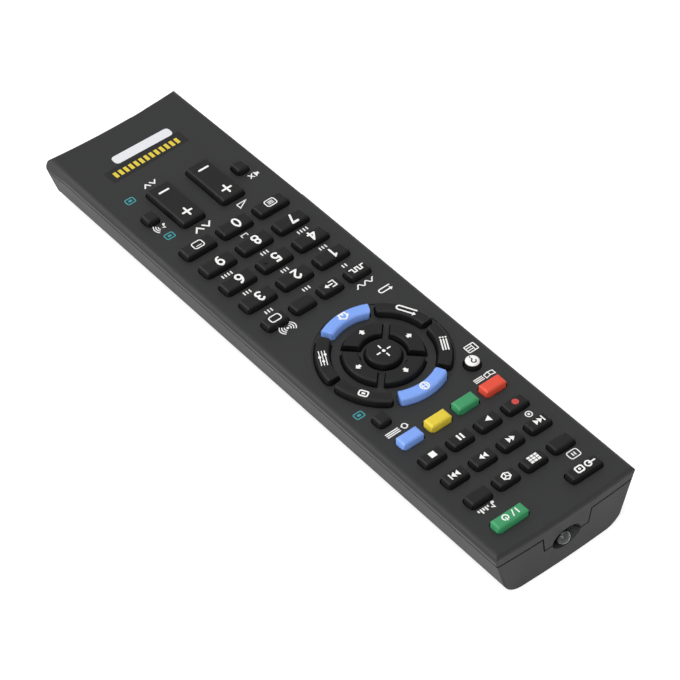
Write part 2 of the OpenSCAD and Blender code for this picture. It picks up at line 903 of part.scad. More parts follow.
// Circuit board with its parts on the lower side
module circuit_board() {
  middle = ring_y + ring_recess;
  color([0.1, 0.32, 0.18]) {
    translate([-board_half, board_far, board_bottom])
      cube([2 * board_half, board_near - board_far, board_thick]);
    translate([-chip_size[0] / 2, middle, board_bottom - chip_size[2]])
      cube([chip_size[0], chip_size[1], chip_size[2] + 0.1]);
    translate([chip_size[0], middle + 2 * chip_size[1], board_bottom - capacitor_height])
      cylinder(h = capacitor_height + 0.1, r = capacitor_radius);
    translate([-chip_size[0], middle + 2 * chip_size[1], board_bottom - resonator_size[2]])
      cube([resonator_size[0], resonator_size[1], resonator_size[2] + 0.1]);
  }
}

// Clear diode lying behind the recess, legs bent up to the board
module ir_led() {
  radius = emitter_diameter / 2;
  half_leg = leg_thick / 2;
  color([0.75, 0.78, 0.82]) {
    translate([emitter_side, led_nose, emitter_height])
      rotate([90, 0, 0])
        cylinder(h = emitter_body, r = radius);
    translate([emitter_side, led_nose, emitter_height])
      sphere(radius);
    translate([emitter_side, led_back + 1, emitter_height])
      rotate([90, 0, 0])
        cylinder(h = 1, r = radius + 0.4);
    for (side = [-1, 1])
      translate([emitter_side + side * leg_pitch / 2 - half_leg, led_back - 3, emitter_height - half_leg]) {
        cube([leg_thick, 3.2, leg_thick]);
        cube([leg_thick, leg_thick, board_bottom - emitter_height + half_leg]);
      }
  }
}

// Two plain cells lying head to tail
module batteries() {
  color([0.2, 0.28, 0.5])
    for (side = [-1, 1])
      translate([side * cell_offset, bay_centre + side * spring_length / 2, cell_height])
        rotate([-90 * side, 0, 0]) {
          translate([0, 0, -cell_length / 2])
            cylinder(h = cell_length - button_height, d = cell_diameter);
          translate([0, 0, cell_length / 2 - button_height - 0.1])
            cylinder(h = button_height + 0.1, d = button_diameter);
        }
}

// Rings of a wire wound along +Z
function coil_ring(i, rings, sides) =
  let (turn = 360 * spring_turns * i / rings)
  let (lift = spring_wire / 2 + spring_pitch * spring_turns * i / rings)
  let (around = spring_radius - 0.5 * i / rings)
  [for (k = [0 : sides - 1])
    let (a = 360 * k / sides)
    let (out = around + spring_wire / 2 * cos(a))
    [out * cos(turn), out * sin(turn), lift + spring_wire / 2 * sin(a)]];

// One spring, wound as one unbroken wire
module coil() {
  sides = 6;
  rings = 8 * spring_turns;
  wire_points = [for (i = [0 : rings]) for (p = coil_ring(i, rings, sides)) p];
  start_cap = [[for (k = [0 : sides - 1]) k]];
  end_cap = [[for (k = [sides - 1 : -1 : 0]) rings * sides + k]];
  skin = [for (i = [0 : rings - 1]) for (k = [0 : sides - 1])
    [i * sides + k, (i + 1) * sides + k,
      (i + 1) * sides + (k + 1) % sides, i * sides + (k + 1) % sides]];
  polyhedron(points = wire_points, faces = concat(start_cap, end_cap, skin), convexity = 8);
}

// Springs that press on the flat ends of the cells
module battery_springs() {
  color([0.75, 0.75, 0.76]) {
    translate([-cell_offset, bay_near - contact_thick, cell_height])
      rotate([90, 0, 0])
        coil();
    translate([cell_offset, bay_far + contact_thick, cell_height])
      rotate([-90, 0, 0])
        coil();
  }
}

// Plates behind the springs and the buttons of the cells
module battery_contacts() {
  color([0.78, 0.78, 0.79])
    for (side = [-1, 1])
      for (y = [bay_far, bay_near - contact_thick])
        translate([side * cell_offset - contact_side / 2, y, cell_height - contact_side / 2])
          cube([contact_side, contact_thick, contact_side]);
}

module key_source() { color(cap_black) block_key(-head_x, head_y, head_key, key_corner); }
module key_power() { color(cap_green) block_key(head_x, head_y, head_key, key_corner); }
module key_blank_far() { color(cap_black) small_block(0, 0); }
module key_grid() { color(cap_black) small_block(1, 0); }
module key_depth() { color(cap_black) small_block(2, 0); }
module key_blank_near() { color(cap_black) small_block(3, 0); }
module key_previous() { color(cap_black) small_block(0, 1); }
module key_rewind() { color(cap_black) small_block(1, 1); }
module key_forward() { color(cap_black) small_block(2, 1); }
module key_next() { color(cap_black) small_block(3, 1); }
module key_record() { color(cap_black) small_block(0, 2); }
module key_play() { color(cap_black) small_block(1, 2); }
module key_pause() { color(cap_black) small_block(2, 2); }
module key_stop() { color(cap_black) small_block(3, 2); }
module key_red() { color(cap_red) small_block(0, 3); }
module key_green() { color(cap_green) small_block(1, 3); }
module key_yellow() { color(cap_yellow) small_block(2, 3); }
module key_blue() { color(cap_blue) small_block(3, 3); }
module key_help() { color(cap_black) round_key(-side_x, help_y, round_diameter / 2, flange_reach); }
module key_wide() { color(cap_black) block_key(side_x, help_y, square_key, key_corner); }
module key_centre() { color(cap_black) round_key(0, ring_y, centre_radius, way_reach); }
module key_up() { color(cap_black) way_key(0); }
module key_left() { color(cap_black) way_key(90); }
module key_down() { color(cap_black) way_key(180); }
module key_right() { color(cap_black) way_key(270); }
module key_ring_top() { color(cap_blue) ring_key(0); }
module key_ring_upper_left() { color(cap_black) ring_key(60); }
module key_ring_lower_left() { color(cap_black) ring_key(120); }
module key_ring_bottom() { color(cap_blue) ring_key(180); }
module key_ring_lower_right() { color(cap_black) ring_key(240); }
module key_ring_upper_right() { color(cap_black) ring_key(300); }
module key_mode_a() { color(cap_black) mode_block(0); }
module key_mode_b() { color(cap_black) mode_block(1); }
module key_mode_c() { color(cap_black) mode_block(2); }
module key_mode_d() { color(cap_black) mode_block(3); }
module key_1() { color(cap_black) digit_block(0, 0); }
module key_2() { color(cap_black) digit_block(1, 0); }
module key_3() { color(cap_black) digit_block(2, 0); }
module key_4() { color(cap_black) digit_block(0, 1); }

// Middle digit with a dot to find it by touch
module key_5() {
  color(cap_black) {
    digit_block(1, 1);
    translate([digit_x(1) + dot_offset, digit_y(1), key_top - 0.1])
      cylinder(h = dot_height + 0.1, r = dot_radius);
  }
}

module key_6() { color(cap_black) digit_block(2, 1); }
module key_7() { color(cap_black) digit_block(0, 2); }
module key_8() { color(cap_black) digit_block(1, 2); }
module key_9() { color(cap_black) digit_block(2, 2); }
module key_text() { color(cap_black) digit_block(0, 3); }
module key_0() { color(cap_black) digit_block(1, 3); }
module key_screen() { color(cap_black) digit_block(2, 3); }
module rocker_volume() { color(cap_black) rocker(-rocker_x); }
module rocker_channel() { color(cap_black) rocker(rocker_x); }
module key_mute() { color(cap_black) block_key(-side_x, rocker_y, square_key, key_corner); }
module key_sound() { color(cap_black) block_key(side_x, rocker_y, square_key, key_corner); }

top_case();
bottom_case();
battery_cover();
keypad_mat();
circuit_board();
ir_led();
batteries();
battery_springs();
battery_contacts();
key_source();
key_power();
key_blank_far();
key_grid();
key_depth();
key_blank_near();
key_previous();
key_rewind();
key_forward();
key_next();
key_record();
key_play();
key_pause();
key_stop();
key_red();
key_green();
key_yellow();
key_blue();
key_help();
key_wide();
key_centre();
key_up();
key_down();
key_left();
key_right();
key_ring_top();
key_ring_upper_right();
key_ring_lower_right();
key_ring_bottom();
key_ring_lower_left();
key_ring_upper_left();
key_mode_a();
key_mode_b();
key_mode_c();
key_mode_d();
key_1();
key_2();
key_3();
key_4();
key_5();
key_6();
key_7();
key_8();
key_9();
key_text();
key_0();
key_screen();
rocker_volume();
rocker_channel();
key_mute();
key_sound();
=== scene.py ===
"""Universal remote control: finishes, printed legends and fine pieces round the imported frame."""

import bmesh
import bpy
import numpy as np
from mathutils import Matrix, Vector


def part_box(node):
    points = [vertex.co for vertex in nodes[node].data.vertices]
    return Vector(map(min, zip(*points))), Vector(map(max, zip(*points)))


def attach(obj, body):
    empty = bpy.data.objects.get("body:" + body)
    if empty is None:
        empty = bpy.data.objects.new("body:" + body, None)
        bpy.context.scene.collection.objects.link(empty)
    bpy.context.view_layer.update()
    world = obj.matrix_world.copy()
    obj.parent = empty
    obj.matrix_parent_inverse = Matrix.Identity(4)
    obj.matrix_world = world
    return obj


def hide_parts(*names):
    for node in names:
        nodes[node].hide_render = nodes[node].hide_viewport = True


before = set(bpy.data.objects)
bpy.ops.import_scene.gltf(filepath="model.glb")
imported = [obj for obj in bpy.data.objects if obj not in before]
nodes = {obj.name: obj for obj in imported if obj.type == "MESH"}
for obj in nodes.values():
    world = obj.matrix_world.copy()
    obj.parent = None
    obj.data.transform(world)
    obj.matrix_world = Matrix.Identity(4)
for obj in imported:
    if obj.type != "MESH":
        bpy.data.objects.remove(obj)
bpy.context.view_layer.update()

MM = 0.001


# Measures, colours and nodes

def in_mm(box):
    """Both corners of a box of the frame, in millimetres."""
    return (np.array(corner) / MM for corner in box)


def linear(hex_colour):
    """Linear RGBA of an sRGB hex value, by the piecewise sRGB curve."""
    srgb = np.array([int(hex_colour[i:i + 2], 16) for i in (1, 3, 5)]) / 255
    curve = np.where(srgb <= 0.04045, srgb / 12.92, ((srgb + 0.055) / 1.055) ** 2.4)
    return (*curve.tolist(), 1.0)


def add(tree, kind, values=None, links=None, **settings):
    """One node: settings are its properties, values fill its sockets, links feed them."""
    made = tree.nodes.new(kind)
    for name, value in settings.items():
        setattr(made, name, value)
    for name, value in (values or {}).items():
        made.inputs[name].default_value = value
    for name, source in (links or {}).items():
        tree.links.new(source, made.inputs[name])
    return made


def per_mm(size):
    """Scale of a noise or cell pattern whose features are this many millimetres across."""
    return 1 / (size * MM)


def start_finish(name, **values):
    """A material holding one shader and its output, with the shader's constants set."""
    made = bpy.data.materials.new(name)
    made.use_nodes = True
    tree = made.node_tree
    tree.nodes.clear()
    sockets = {key.replace("_", " "): value for key, value in values.items()}
    shader = add(tree, "ShaderNodeBsdfPrincipled", sockets)
    add(tree, "ShaderNodeOutputMaterial", links={"Surface": shader.outputs["BSDF"]})
    where = add(tree, "ShaderNodeTexCoord").outputs["Object"]
    return made, tree, shader, where


# Finishes

def moulded_abs(name, pale, deep, grit, joint=None):
    """ABS from a spark-eroded mould: a satin skin whose grit breaks every reflection up.

    The real grit is about 0.1 mm; it is drawn coarser so that it shows at all. Painted shade
    darkens the groove between the shells: above the height of the joint in millimetres the colour
    turns near black.
    """
    made, tree, shader, where = start_finish(name, IOR=1.52, Specular_IOR_Level=0.36)
    skin = add(tree, "ShaderNodeTexNoise",
               {"Scale": per_mm(grit), "Detail": 3.0, "Roughness": 0.65}, {"Vector": where})
    cloud = add(tree, "ShaderNodeTexNoise", {"Scale": per_mm(18), "Detail": 2.0}, {"Vector": where})
    tone = add(tree, "ShaderNodeMixRGB", {"Color1": linear(deep), "Color2": linear(pale)},
               {"Fac": skin.outputs["Fac"]})
    # Painted shade: above the joint the colour turns near black, standing in for the shade inside
    # the groove.
    if joint:
        height = add(tree, "ShaderNodeSeparateXYZ", links={"Vector": where}).outputs["Z"]
        groove_shade = add(tree, "ShaderNodeMath", {1: joint * MM}, {0: height}, operation="GREATER_THAN")
        tone = add(tree, "ShaderNodeMixRGB", {"Color2": linear("#040404")},
                   {"Fac": groove_shade.outputs[0], "Color1": tone.outputs["Color"]})
    gloss = add(tree, "ShaderNodeMapRange",
                {"From Min": 0.3, "From Max": 0.7, "To Min": 0.53, "To Max": 0.58},
                {"Value": cloud.outputs["Fac"]})
    bump = add(tree, "ShaderNodeBump", {"Strength": 0.25, "Distance": 0.03 * MM},
               {"Height": skin.outputs["Fac"]})
    tree.links.new(tone.outputs["Color"], shader.inputs["Base Color"])
    tree.links.new(gloss.outputs["Result"], shader.inputs["Roughness"])
    tree.links.new(bump.outputs["Normal"], shader.inputs["Normal"])
    return made


def silicone(name, pale, deep, level):
    """Moulded silicone rubber: satin, with soft clouding in the pigment and a faint orange peel."""
    made, tree, shader, where = start_finish(name, IOR=1.43, Specular_IOR_Level=level)
    cloud = add(tree, "ShaderNodeTexNoise", {"Scale": per_mm(2.4), "Detail": 4.0},
                {"Vector": where})
    peel = add(tree, "ShaderNodeTexNoise", {"Scale": per_mm(0.35), "Detail": 2.0},
               {"Vector": where})
    tone = add(tree, "ShaderNodeMixRGB", {"Color1": linear(deep), "Color2": linear(pale)},
               {"Fac": cloud.outputs["Fac"]})
    gloss = add(tree, "ShaderNodeMapRange",
                {"From Min": 0.3, "From Max": 0.7, "To Min": 0.46, "To Max": 0.56},
                {"Value": peel.outputs["Fac"]})
    bump = add(tree, "ShaderNodeBump", {"Strength": 0.2, "Distance": 0.03 * MM},
               {"Height": peel.outputs["Fac"]})
    tree.links.new(tone.outputs["Color"], shader.inputs["Base Color"])
    tree.links.new(gloss.outputs["Result"], shader.inputs["Roughness"])
    tree.links.new(bump.outputs["Normal"], shader.inputs["Normal"])
    return made


def pad_print(name, full, thin):
    """Pad-printed ink: an even coat that thins in pinholes about 0.2 mm across."""
    made, tree, shader, where = start_finish(name, IOR=1.5, Specular_IOR_Level=0.3, Roughness=0.5)
    holes = add(tree, "ShaderNodeTexNoise", {"Scale": per_mm(0.2), "Detail": 2.0},
                {"Vector": where})
    cover = add(tree, "ShaderNodeMapRange", {"From Min": 0.28, "From Max": 0.5},
                {"Value": holes.outputs["Fac"]})
    tone = add(tree, "ShaderNodeMixRGB", {"Color1": linear(thin), "Color2": linear(full)},
               {"Fac": cover.outputs["Result"]})
    tree.links.new(tone.outputs["Color"], shader.inputs["Base Color"])
    return made


def nickel_plate(name):
    """Nickel-plated spring steel: bright, with drawing marks that blur its highlights."""
    made, tree, shader, where = start_finish(name, Metallic=1.0)
    marks = add(tree, "ShaderNodeTexNoise", {"Scale": per_mm(0.3), "Detail": 3.0},
                {"Vector": where})
    tone = add(tree, "ShaderNodeMixRGB", {"Color1": linear("#A9A69E"), "Color2": linear("#CFCDC6")},
               {"Fac": marks.outputs["Fac"]})
    gloss = add(tree, "ShaderNodeMapRange", {"To Min": 0.18, "To Max": 0.38},
                {"Value": marks.outputs["Fac"]})
    tree.links.new(tone.outputs["Color"], shader.inputs["Base Color"])
    tree.links.new(gloss.outputs["Result"], shader.inputs["Roughness"])
    return made


def clear_epoxy(name):
    """Cast epoxy of a diode: clear, faintly smoky, with flow lines from the casting."""
    made, tree, shader, where = start_finish(name, IOR=1.54, Roughness=0.03)
    shader.inputs["Transmission Weight"].default_value = 0.92
    flow = add(tree, "ShaderNodeTexNoise", {"Scale": per_mm(1.5), "Detail": 1.0}, {"Vector": where})
    tone = add(tree, "ShaderNodeMixRGB", {"Color1": linear("#54595E"), "Color2": linear("#787E84")},
               {"Fac": flow.outputs["Fac"]})
    tree.links.new(tone.outputs["Color"], shader.inputs["Base Color"])
    return made


def lacquered_board(name):
    """Solder lacquer over copper: tracks 0.6 mm wide show as paler green under a glossy coat."""
    made, tree, shader, where = start_finish(name, IOR=1.5, Roughness=0.28)
    tracks = add(tree, "ShaderNodeTexBrick", {
        "Color1": linear("#1E5A33"), "Color2": linear("#174A2A"), "Mortar": linear("#2F7A48"),
        "Scale": per_mm(5), "Mortar Size": 0.06, "Mortar Smooth": 0.2, "Bias": 0.0,
    }, {"Vector": where})
    bump = add(tree, "ShaderNodeBump", {"Strength": 0.4, "Distance": 0.035 * MM},
               {"Height": tracks.outputs["Fac"]})
    tree.links.new(tracks.outputs["Color"], shader.inputs["Base Color"])
    tree.links.new(bump.outputs["Normal"], shader.inputs["Normal"])
    return made


# Shares of a cell's length from its flat end
BAND_START, FAR_RIM, NEAR_RIM = 0.72, 0.955, 0.03


def cell_jacket(name):
    """Shrunk plastic jacket on a cell: blue body, silver band at the button end, bare steel rims.

    The UV map runs from 0 at the flat end to 1 at the button, so the bands follow each cell.
    """
    made, tree, shader, where = start_finish(name, IOR=1.5)
    along = add(tree, "ShaderNodeSeparateXYZ", links={
        "Vector": add(tree, "ShaderNodeTexCoord").outputs["UV"]}).outputs["X"]
    band = add(tree, "ShaderNodeMath", {1: BAND_START}, {0: along}, operation="GREATER_THAN")
    rim_far = add(tree, "ShaderNodeMath", {1: FAR_RIM}, {0: along}, operation="GREATER_THAN")
    rim_near = add(tree, "ShaderNodeMath", {1: NEAR_RIM}, {0: along}, operation="LESS_THAN")
    rims = add(tree, "ShaderNodeMath", {}, {0: rim_far.outputs[0], 1: rim_near.outputs[0]},
               operation="ADD")
    ripple = add(tree, "ShaderNodeTexNoise", {"Scale": per_mm(3), "Detail": 2.0}, {"Vector": where})
    body = add(tree, "ShaderNodeMixRGB", {"Color1": linear("#24407E"), "Color2": linear("#30509A")},
               {"Fac": ripple.outputs["Fac"]})
    banded = add(tree, "ShaderNodeMixRGB", {"Color2": linear("#B9BCC2")},
                 {"Fac": band.outputs[0], "Color1": body.outputs["Color"]})
    rimmed = add(tree, "ShaderNodeMixRGB", {"Color2": linear("#C4C2BC")},
                 {"Fac": rims.outputs[0], "Color1": banded.outputs["Color"]})
    gloss = add(tree, "ShaderNodeMapRange", {"To Min": 0.25, "To Max": 0.4},
                {"Value": ripple.outputs["Fac"]})
    tree.links.new(rimmed.outputs["Color"], shader.inputs["Base Color"])
    tree.links.new(rims.outputs[0], shader.inputs["Metallic"])
    tree.links.new(gloss.outputs["Result"], shader.inputs["Roughness"])
    return made


# Millimetres for groove and grit
GROOVE_DEPTH = 0.52
joint_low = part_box("bottom_case")[1][2] / MM - GROOVE_DEPTH
CHARCOAL = ("#191A1A", "#111112")
GRIT = 0.3
SHELL = moulded_abs("moulded_abs_charcoal", *CHARCOAL, GRIT)
# The lower shell has painted shade in the groove between the shells, from joint_low up.
LOWER_SHELL = moulded_abs("moulded_abs_charcoal_groove_shaded", *CHARCOAL, GRIT, joint_low)
BLACK = silicone("silicone_black", "#141415", "#0D0D0E", 0.27)
BLUE = silicone("silicone_blue", "#86ACF8", "#7CA2F0", 0.4)
GREEN = silicone("silicone_green", "#3F9865", "#388F5D", 0.4)
RED = silicone("silicone_red", "#E8553F", "#DF4B36", 0.4)
YELLOW = silicone("silicone_yellow", "#E8D144", "#DEC638", 0.4)
MAT = silicone("silicone_mat_grey", "#3C3C3E", "#343436", 0.35)
WHITE_INK = pad_print("ink_white", "#FCFCFA", "#E8E8E6")
LABEL_INK = pad_print("ink_label_grey_white", "#E9EAEE", "#DADCE2")
DARK_INK = pad_print("ink_dark", "#060607", "#0A0A0B")
TEAL_INK = pad_print("ink_teal", "#3F9DA3", "#35868C")
YELLOW_INK = pad_print("ink_yellow", "#E6CE45", "#C9B23A")
RED_INK = pad_print("ink_red", "#CF4A48", "#B43F3E")
STEEL = nickel_plate("nickel_plated_steel")
EPOXY = clear_epoxy("clear_epoxy")
BOARD = lacquered_board("lacquered_board")
JACKET = cell_jacket("cell_jacket")


# Surfaces

def arc(x, y, across, up, start, end, steps=14):
    """Points on an ellipse about (x, y), from one angle to another in degrees."""
    turn = np.radians(np.linspace(start, end, steps + 1))
    return np.stack([x + across * np.cos(turn), y + up * np.sin(turn)], axis=1)


def line(*points):
    """A path through the points given."""
    return np.array(points, float)


def ring(x, y, across, up=None, steps=28):
    """A closed path round an ellipse."""
    return arc(x, y, across, up or across, 0, 360 - 360 / steps, steps - 1)


def frame_path(x, y, wide, tall, radius, steps=5):
    """A closed path round a rectangle: four quarter arcs at its corners, joined by straights."""
    right, top = wide / 2 - radius, tall / 2 - radius
    return np.concatenate([
        arc(x + right, y + top, radius, radius, 0, 90, steps),
        arc(x - right, y + top, radius, radius, 90, 180, steps),
        arc(x - right, y - top, radius, radius, 180, 270, steps),
        arc(x + right, y - top, radius, radius, 270, 360, steps)])


def dense(path, closed, step=0.25):
    """The same path with points added along each straight, no further apart than the step."""
    ends = np.roll(path, -1, axis=0) if closed else path[1:]
    starts = path if closed else path[:-1]
    counts = np.maximum(np.ceil(np.linalg.norm(ends - starts, axis=1) / step).astype(int), 1)
    part = np.concatenate([np.arange(n) / n for n in counts])[:, None]
    whole = np.repeat(starts, counts, axis=0) * (1 - part) + np.repeat(ends, counts, axis=0) * part
    return whole if closed else np.concatenate([whole, path[-1:]])


# Angles at which a round end is drawn, and least cosine of a mitre
ROUND_END = np.radians(np.linspace(18, 84, 5))
MITRE_LIMIT = 0.5


def stroke(path, width, closed=False):
    """Flat-topped line: a rectangle of the given width carried along a path, mitred at its bends.

    Open ends are rounded: the path runs on by half a width times the sine of a quarter turn, while
    the width shrinks with its cosine. Gives the points of its left and right edges, step by step.
    """
    path = dense(path, closed)
    half = np.full(len(path), width / 2)
    if not closed:
        reach, narrow = width / 2 * np.sin(ROUND_END), width / 2 * np.cos(ROUND_END)
        tail, head = path[0] - path[1], path[-1] - path[-2]
        tail, head = tail / np.linalg.norm(tail), head / np.linalg.norm(head)
        path = np.concatenate([path[0] + reach[::-1, None] * tail, path,
                               path[-1] + reach[:, None] * head])
        half = np.concatenate([narrow[::-1], half, narrow])
    ahead = np.roll(path, -1, axis=0) - path
    if not closed:
        ahead[-1] = ahead[-2]
    ahead /= np.linalg.norm(ahead, axis=1, keepdims=True)
    behind = np.roll(ahead, 1, axis=0)
    if not closed:
        behind[0] = ahead[0]
    side = np.stack([-(ahead + behind)[:, 1], (ahead + behind)[:, 0]], axis=1)
    side /= np.linalg.norm(side, axis=1, keepdims=True)
    spread = np.abs(side[:, 0] * -ahead[:, 1] + side[:, 1] * ahead[:, 0])
    side *= (half / np.maximum(spread, MITRE_LIMIT))[:, None]
    return path + side, path - side, closed


def plate(path):
    """Flat-topped filled outline: one wall round a closed path, with a face on each end."""
    return path, None, True


def placed(shapes, x=0.0, y=0.0, turn=0.0, grow=1.0):
    """Shapes turned by an angle in degrees, scaled, and moved to (x, y)."""
    cos, sin = np.cos(np.radians(turn)) * grow, np.sin(np.radians(turn)) * grow
    spin = np.array([[cos, sin], [-sin, cos]])
    move = [x, y]
    return [(a @ spin + move, None if b is None else b @ spin + move, c) for a, b, c in shapes]


def tube_faces(rows, sides, closed=False):
    """Four-cornered faces between rings of points in a row; if closed, from last to first too."""
    here = np.arange(rows if closed else rows - 1)[:, None] * sides
    after = (here + sides) % (rows * sides)
    corner = np.arange(sides)
    beside = (corner + 1) % sides
    skin = [here + corner, here + beside, after + beside, after + corner]
    return np.stack(skin, axis=2).reshape(-1, 4)


OTHER_WAY_ROUND = [0, 3, 2, 1]
STROKE_SECTION = ((0, 0), (1, 0), (1, 1), (2 / 3, 1), (1 / 3, 1), (0, 1))


def solid_of(shape, low, high):
    """Points and faces of one shape between two heights.

    A stroke is a grid of path steps by six points round its section, two low and four across its
    top, each given by its share of the width and of the height. A plate is a grid of path steps by
    two heights with a many-sided face on each end.
    """
    left, right, closed = shape
    count = len(left)
    if right is None:
        after = np.roll(left, -1, axis=0)
        twice_area = np.sum(left[:, 0] * after[:, 1] - left[:, 1] * after[:, 0])
        left = left if twice_area > 0 else left[::-1]
        points = np.concatenate([np.column_stack([left, np.full(count, z)]) for z in (low, high)])
        rim = np.arange(count)
        return points, tube_faces(2, count).tolist() + [rim[::-1].tolist(), (rim + count).tolist()]
    heights = (low, high)
    section = [np.column_stack([left * (1 - across) + right * across, np.full(count, heights[up])])
               for across, up in STROKE_SECTION]
    points = np.stack(section, axis=1).reshape(-1, 3)
    sides = len(STROKE_SECTION)
    faces = tube_faces(count, sides, closed).tolist()
    if not closed:
        rim = np.arange(sides)
        faces += [rim[::-1].tolist(), (rim + sides * (count - 1)).tolist()]
    return points, faces


def shown(name, data):
    """An object at the origin that holds the data, in the scene."""
    made = bpy.data.objects.new(name, data)
    bpy.context.scene.collection.objects.link(made)
    return made


def piece(name, points, faces, body, finish, smooth=False):
    """A mesh in metres from points in millimetres, riding on a body of the frame."""
    mesh = bpy.data.meshes.new(name)
    mesh.from_pydata((np.asarray(points) * MM).tolist(), [], faces)
    mesh.polygons.foreach_set("use_smooth", np.full(len(mesh.polygons), smooth))
    mesh.materials.append(finish)
    made = shown(name, mesh)
    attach(made, body)
    return made


def joined(parts):
    """Points and faces of several solids as one list of each."""
    starts = np.cumsum([0] + [len(points) for points, faces in parts])
    return (np.concatenate([points for points, faces in parts]),
            [[i + start for i in face]
             for (points, faces), start in zip(parts, starts) for face in faces])


# Height of a print, depth of its root, and step between its shapes, in millimetres
INK_COAT, INK_ROOT, INK_STEP = 0.03, 0.12, 0.003


def legend(name, shapes, height, body, finish, proud=INK_COAT, drop=None):
    """All the shapes of one print as one mesh, a thin coat standing on a surface and rooted in it.

    Where shapes cross, each lies one step above the one before. The drop, where given, is how far
    the surface falls below the height at points (x, y), and the coat falls with it.
    """
    points, faces = joined([solid_of(shape, height - INK_ROOT, height + proud + INK_STEP * i)
                            for i, shape in enumerate(shapes)])
    if drop:
        points[:, 2] -= drop(points[:, 0], points[:, 1])
    piece(name, points, faces, body, finish)


# Signs, drawn in millimetres about their own middle

BOLD = 0.54


def digit_strokes(number):
    """Plain numeral 3.2 mm tall: a stroke for each line or curve between its sharp turns."""
    six = [stroke(ring(0, -0.5, 0.8, 0.83), BOLD, True),
           stroke(arc(0.38, -0.5, 1.18, 1.84, 86, 180, 10), BOLD)]
    forms = {
        0: [stroke(ring(0, 0, 0.8, 1.34), BOLD, True)],
        1: [stroke(line((-0.5, 0.86), (0.12, 1.34)), BOLD),
            stroke(line((0.12, 1.34), (0.12, -1.34)), BOLD)],
        2: [stroke(np.concatenate([arc(0, 0.56, 0.8, 0.78, 168, -32), line((-0.78, -1.33))]), BOLD),
            stroke(line((-0.78, -1.33), (0.84, -1.33)), BOLD)],
        3: [stroke(arc(0, 0.66, 0.72, 0.68, 150, -90), BOLD),
            stroke(arc(0, -0.64, 0.8, 0.7, 90, -150), BOLD)],
        4: [stroke(line((0.42, -1.34), (0.42, 1.3)), BOLD),
            stroke(line((0.42, 1.3), (-0.92, -0.6)), BOLD),
            stroke(line((-0.92, -0.6), (0.98, -0.6)), BOLD)],
        5: [stroke(line((0.72, 1.33), (-0.56, 1.33)), BOLD),
            stroke(line((-0.56, 1.33), (-0.64, 0.12)), BOLD),
            stroke(arc(0, -0.46, 0.82, 0.88, 138, -150), BOLD)],
        6: six,
        7: [stroke(line((-0.86, 1.33), (0.82, 1.33)), BOLD),
            stroke(line((0.82, 1.33), (-0.22, -1.34)), BOLD)],
        8: [stroke(ring(0, 0.68, 0.66, 0.66), BOLD, True),
            stroke(ring(0, -0.62, 0.8, 0.72), BOLD, True)],
        9: placed(six, turn=180),
    }
    return forms[number]


def wedge_sign(x, way, wide=1.35, tall=2.1):
    """Solid triangle pointing along x."""
    back, tip = x - way * wide / 2, x + way * wide / 2
    return plate(line((back, -tall / 2), (back, tall / 2), (tip, 0)))


def block_sign(x, y, wide, tall):
    """Solid rectangle."""
    left, right, low, high = x - wide / 2, x + wide / 2, y - tall / 2, y + tall / 2
    return plate(line((left, low), (right, low), (right, high), (left, high)))


def bar_rows(wide, rows, width):
    """Short level lines, one at each of the heights given."""
    return [stroke(line((-wide / 2, y), (wide / 2, y)), width) for y in rows]


def arrow_sign(length=1.8, head=2.0, shaft=1.0):
    """Stubby solid arrow pointing up: a shaft under a triangular head."""
    low, top, neck = -length / 2, length / 2, -0.1
    return [plate(line((-shaft / 2, low), (shaft / 2, low), (shaft / 2, neck), (head / 2, neck),
                       (0, top), (-head / 2, neck), (-shaft / 2, neck)))]


def hook_arrow(wide, tall, width):
    """Arrow that turns back on itself: a straight, a half circle and a solid head."""
    left, right, half = -wide / 2, wide / 2, tall / 2
    path = np.concatenate([line((left + 0.7, half), (right - half, half)),
                           arc(right - half, 0, half, half, 84, -90, 10),
                           line((left + 0.3, -half))])
    head = line((left, half), (left + 1.0, half + 0.75), (left + 1.0, half - 0.75))
    return [stroke(path, width), plate(head)]


def house_sign():
    """Outline of a gabled house with a door."""
    return [stroke(line((-1.6, 0.05), (0, 1.25), (1.6, 0.05)), 0.44),
            stroke(line((-1.1, 0.1), (-1.1, -1.1), (1.1, -1.1), (1.1, 0.1)), 0.44),
            block_sign(0, -0.7, 0.6, 0.8)]


def globe_sign():
    """Circle crossed by a level line and an upright oval."""
    return [stroke(ring(0, 0, 1.3), 0.36, True), stroke(ring(0, 0, 0.58, 1.3), 0.28, True),
            stroke(line((-1.3, 0), (1.3, 0)), 0.28)]


def list_sign():
    """Three lines, each after a dot."""
    dots = [plate(ring(-2.3, y, 0.3, steps=12)) for y in (-0.8, 0, 0.8)]
    return dots + [stroke(line((-1.5, y), (2.5, y)), 0.42) for y in (-0.8, 0, 0.8)]


def slider_sign():
    """Three level tracks, each with a knob at another place."""
    tracks = [stroke(line((-2.7, y), (2.7, y)), 0.28) for y in (-0.85, 0, 0.85)]
    knobs = ((-1.3, 0.85), (1.2, 0), (-0.4, -0.85))
    return tracks + [plate(ring(x, y, 0.44, steps=14)) for x, y in knobs]


def boxed_dot(wide=2.9, tall=2.1, width=0.36):
    """Rounded frame round a small solid block."""
    return [stroke(frame_path(0, 0, wide, tall, 0.5), width, True),
            block_sign(0, 0, wide * 0.42, tall * 0.34)]


def screen_sign(wide=3.5, tall=2.5, rows=(0.45,)):
    """Rounded frame with level lines inside."""
    return [stroke(frame_path(0, 0, wide, tall, 0.7), 0.34, True),
            *bar_rows(wide * 0.5, rows, 0.26)]


def cube_sign():
    """Outline of a cube seen from a corner: a hexagon and its three inner edges."""
    rim = arc(0, 0, 1.4, 1.3, 30, 330, 5)
    spokes = [stroke(line((0, 0), tuple(rim[i])), 0.34) for i in (0, 2, 4)]
    return [stroke(rim, 0.4, True)] + spokes


def note_sign():
    """Round note head with its stem and flag."""
    return [plate(ring(-0.45, -0.75, 0.55, 0.45, steps=16)),
            stroke(line((0.0, -0.7), (0.0, 0.95), (0.8, 0.45)), 0.34)]


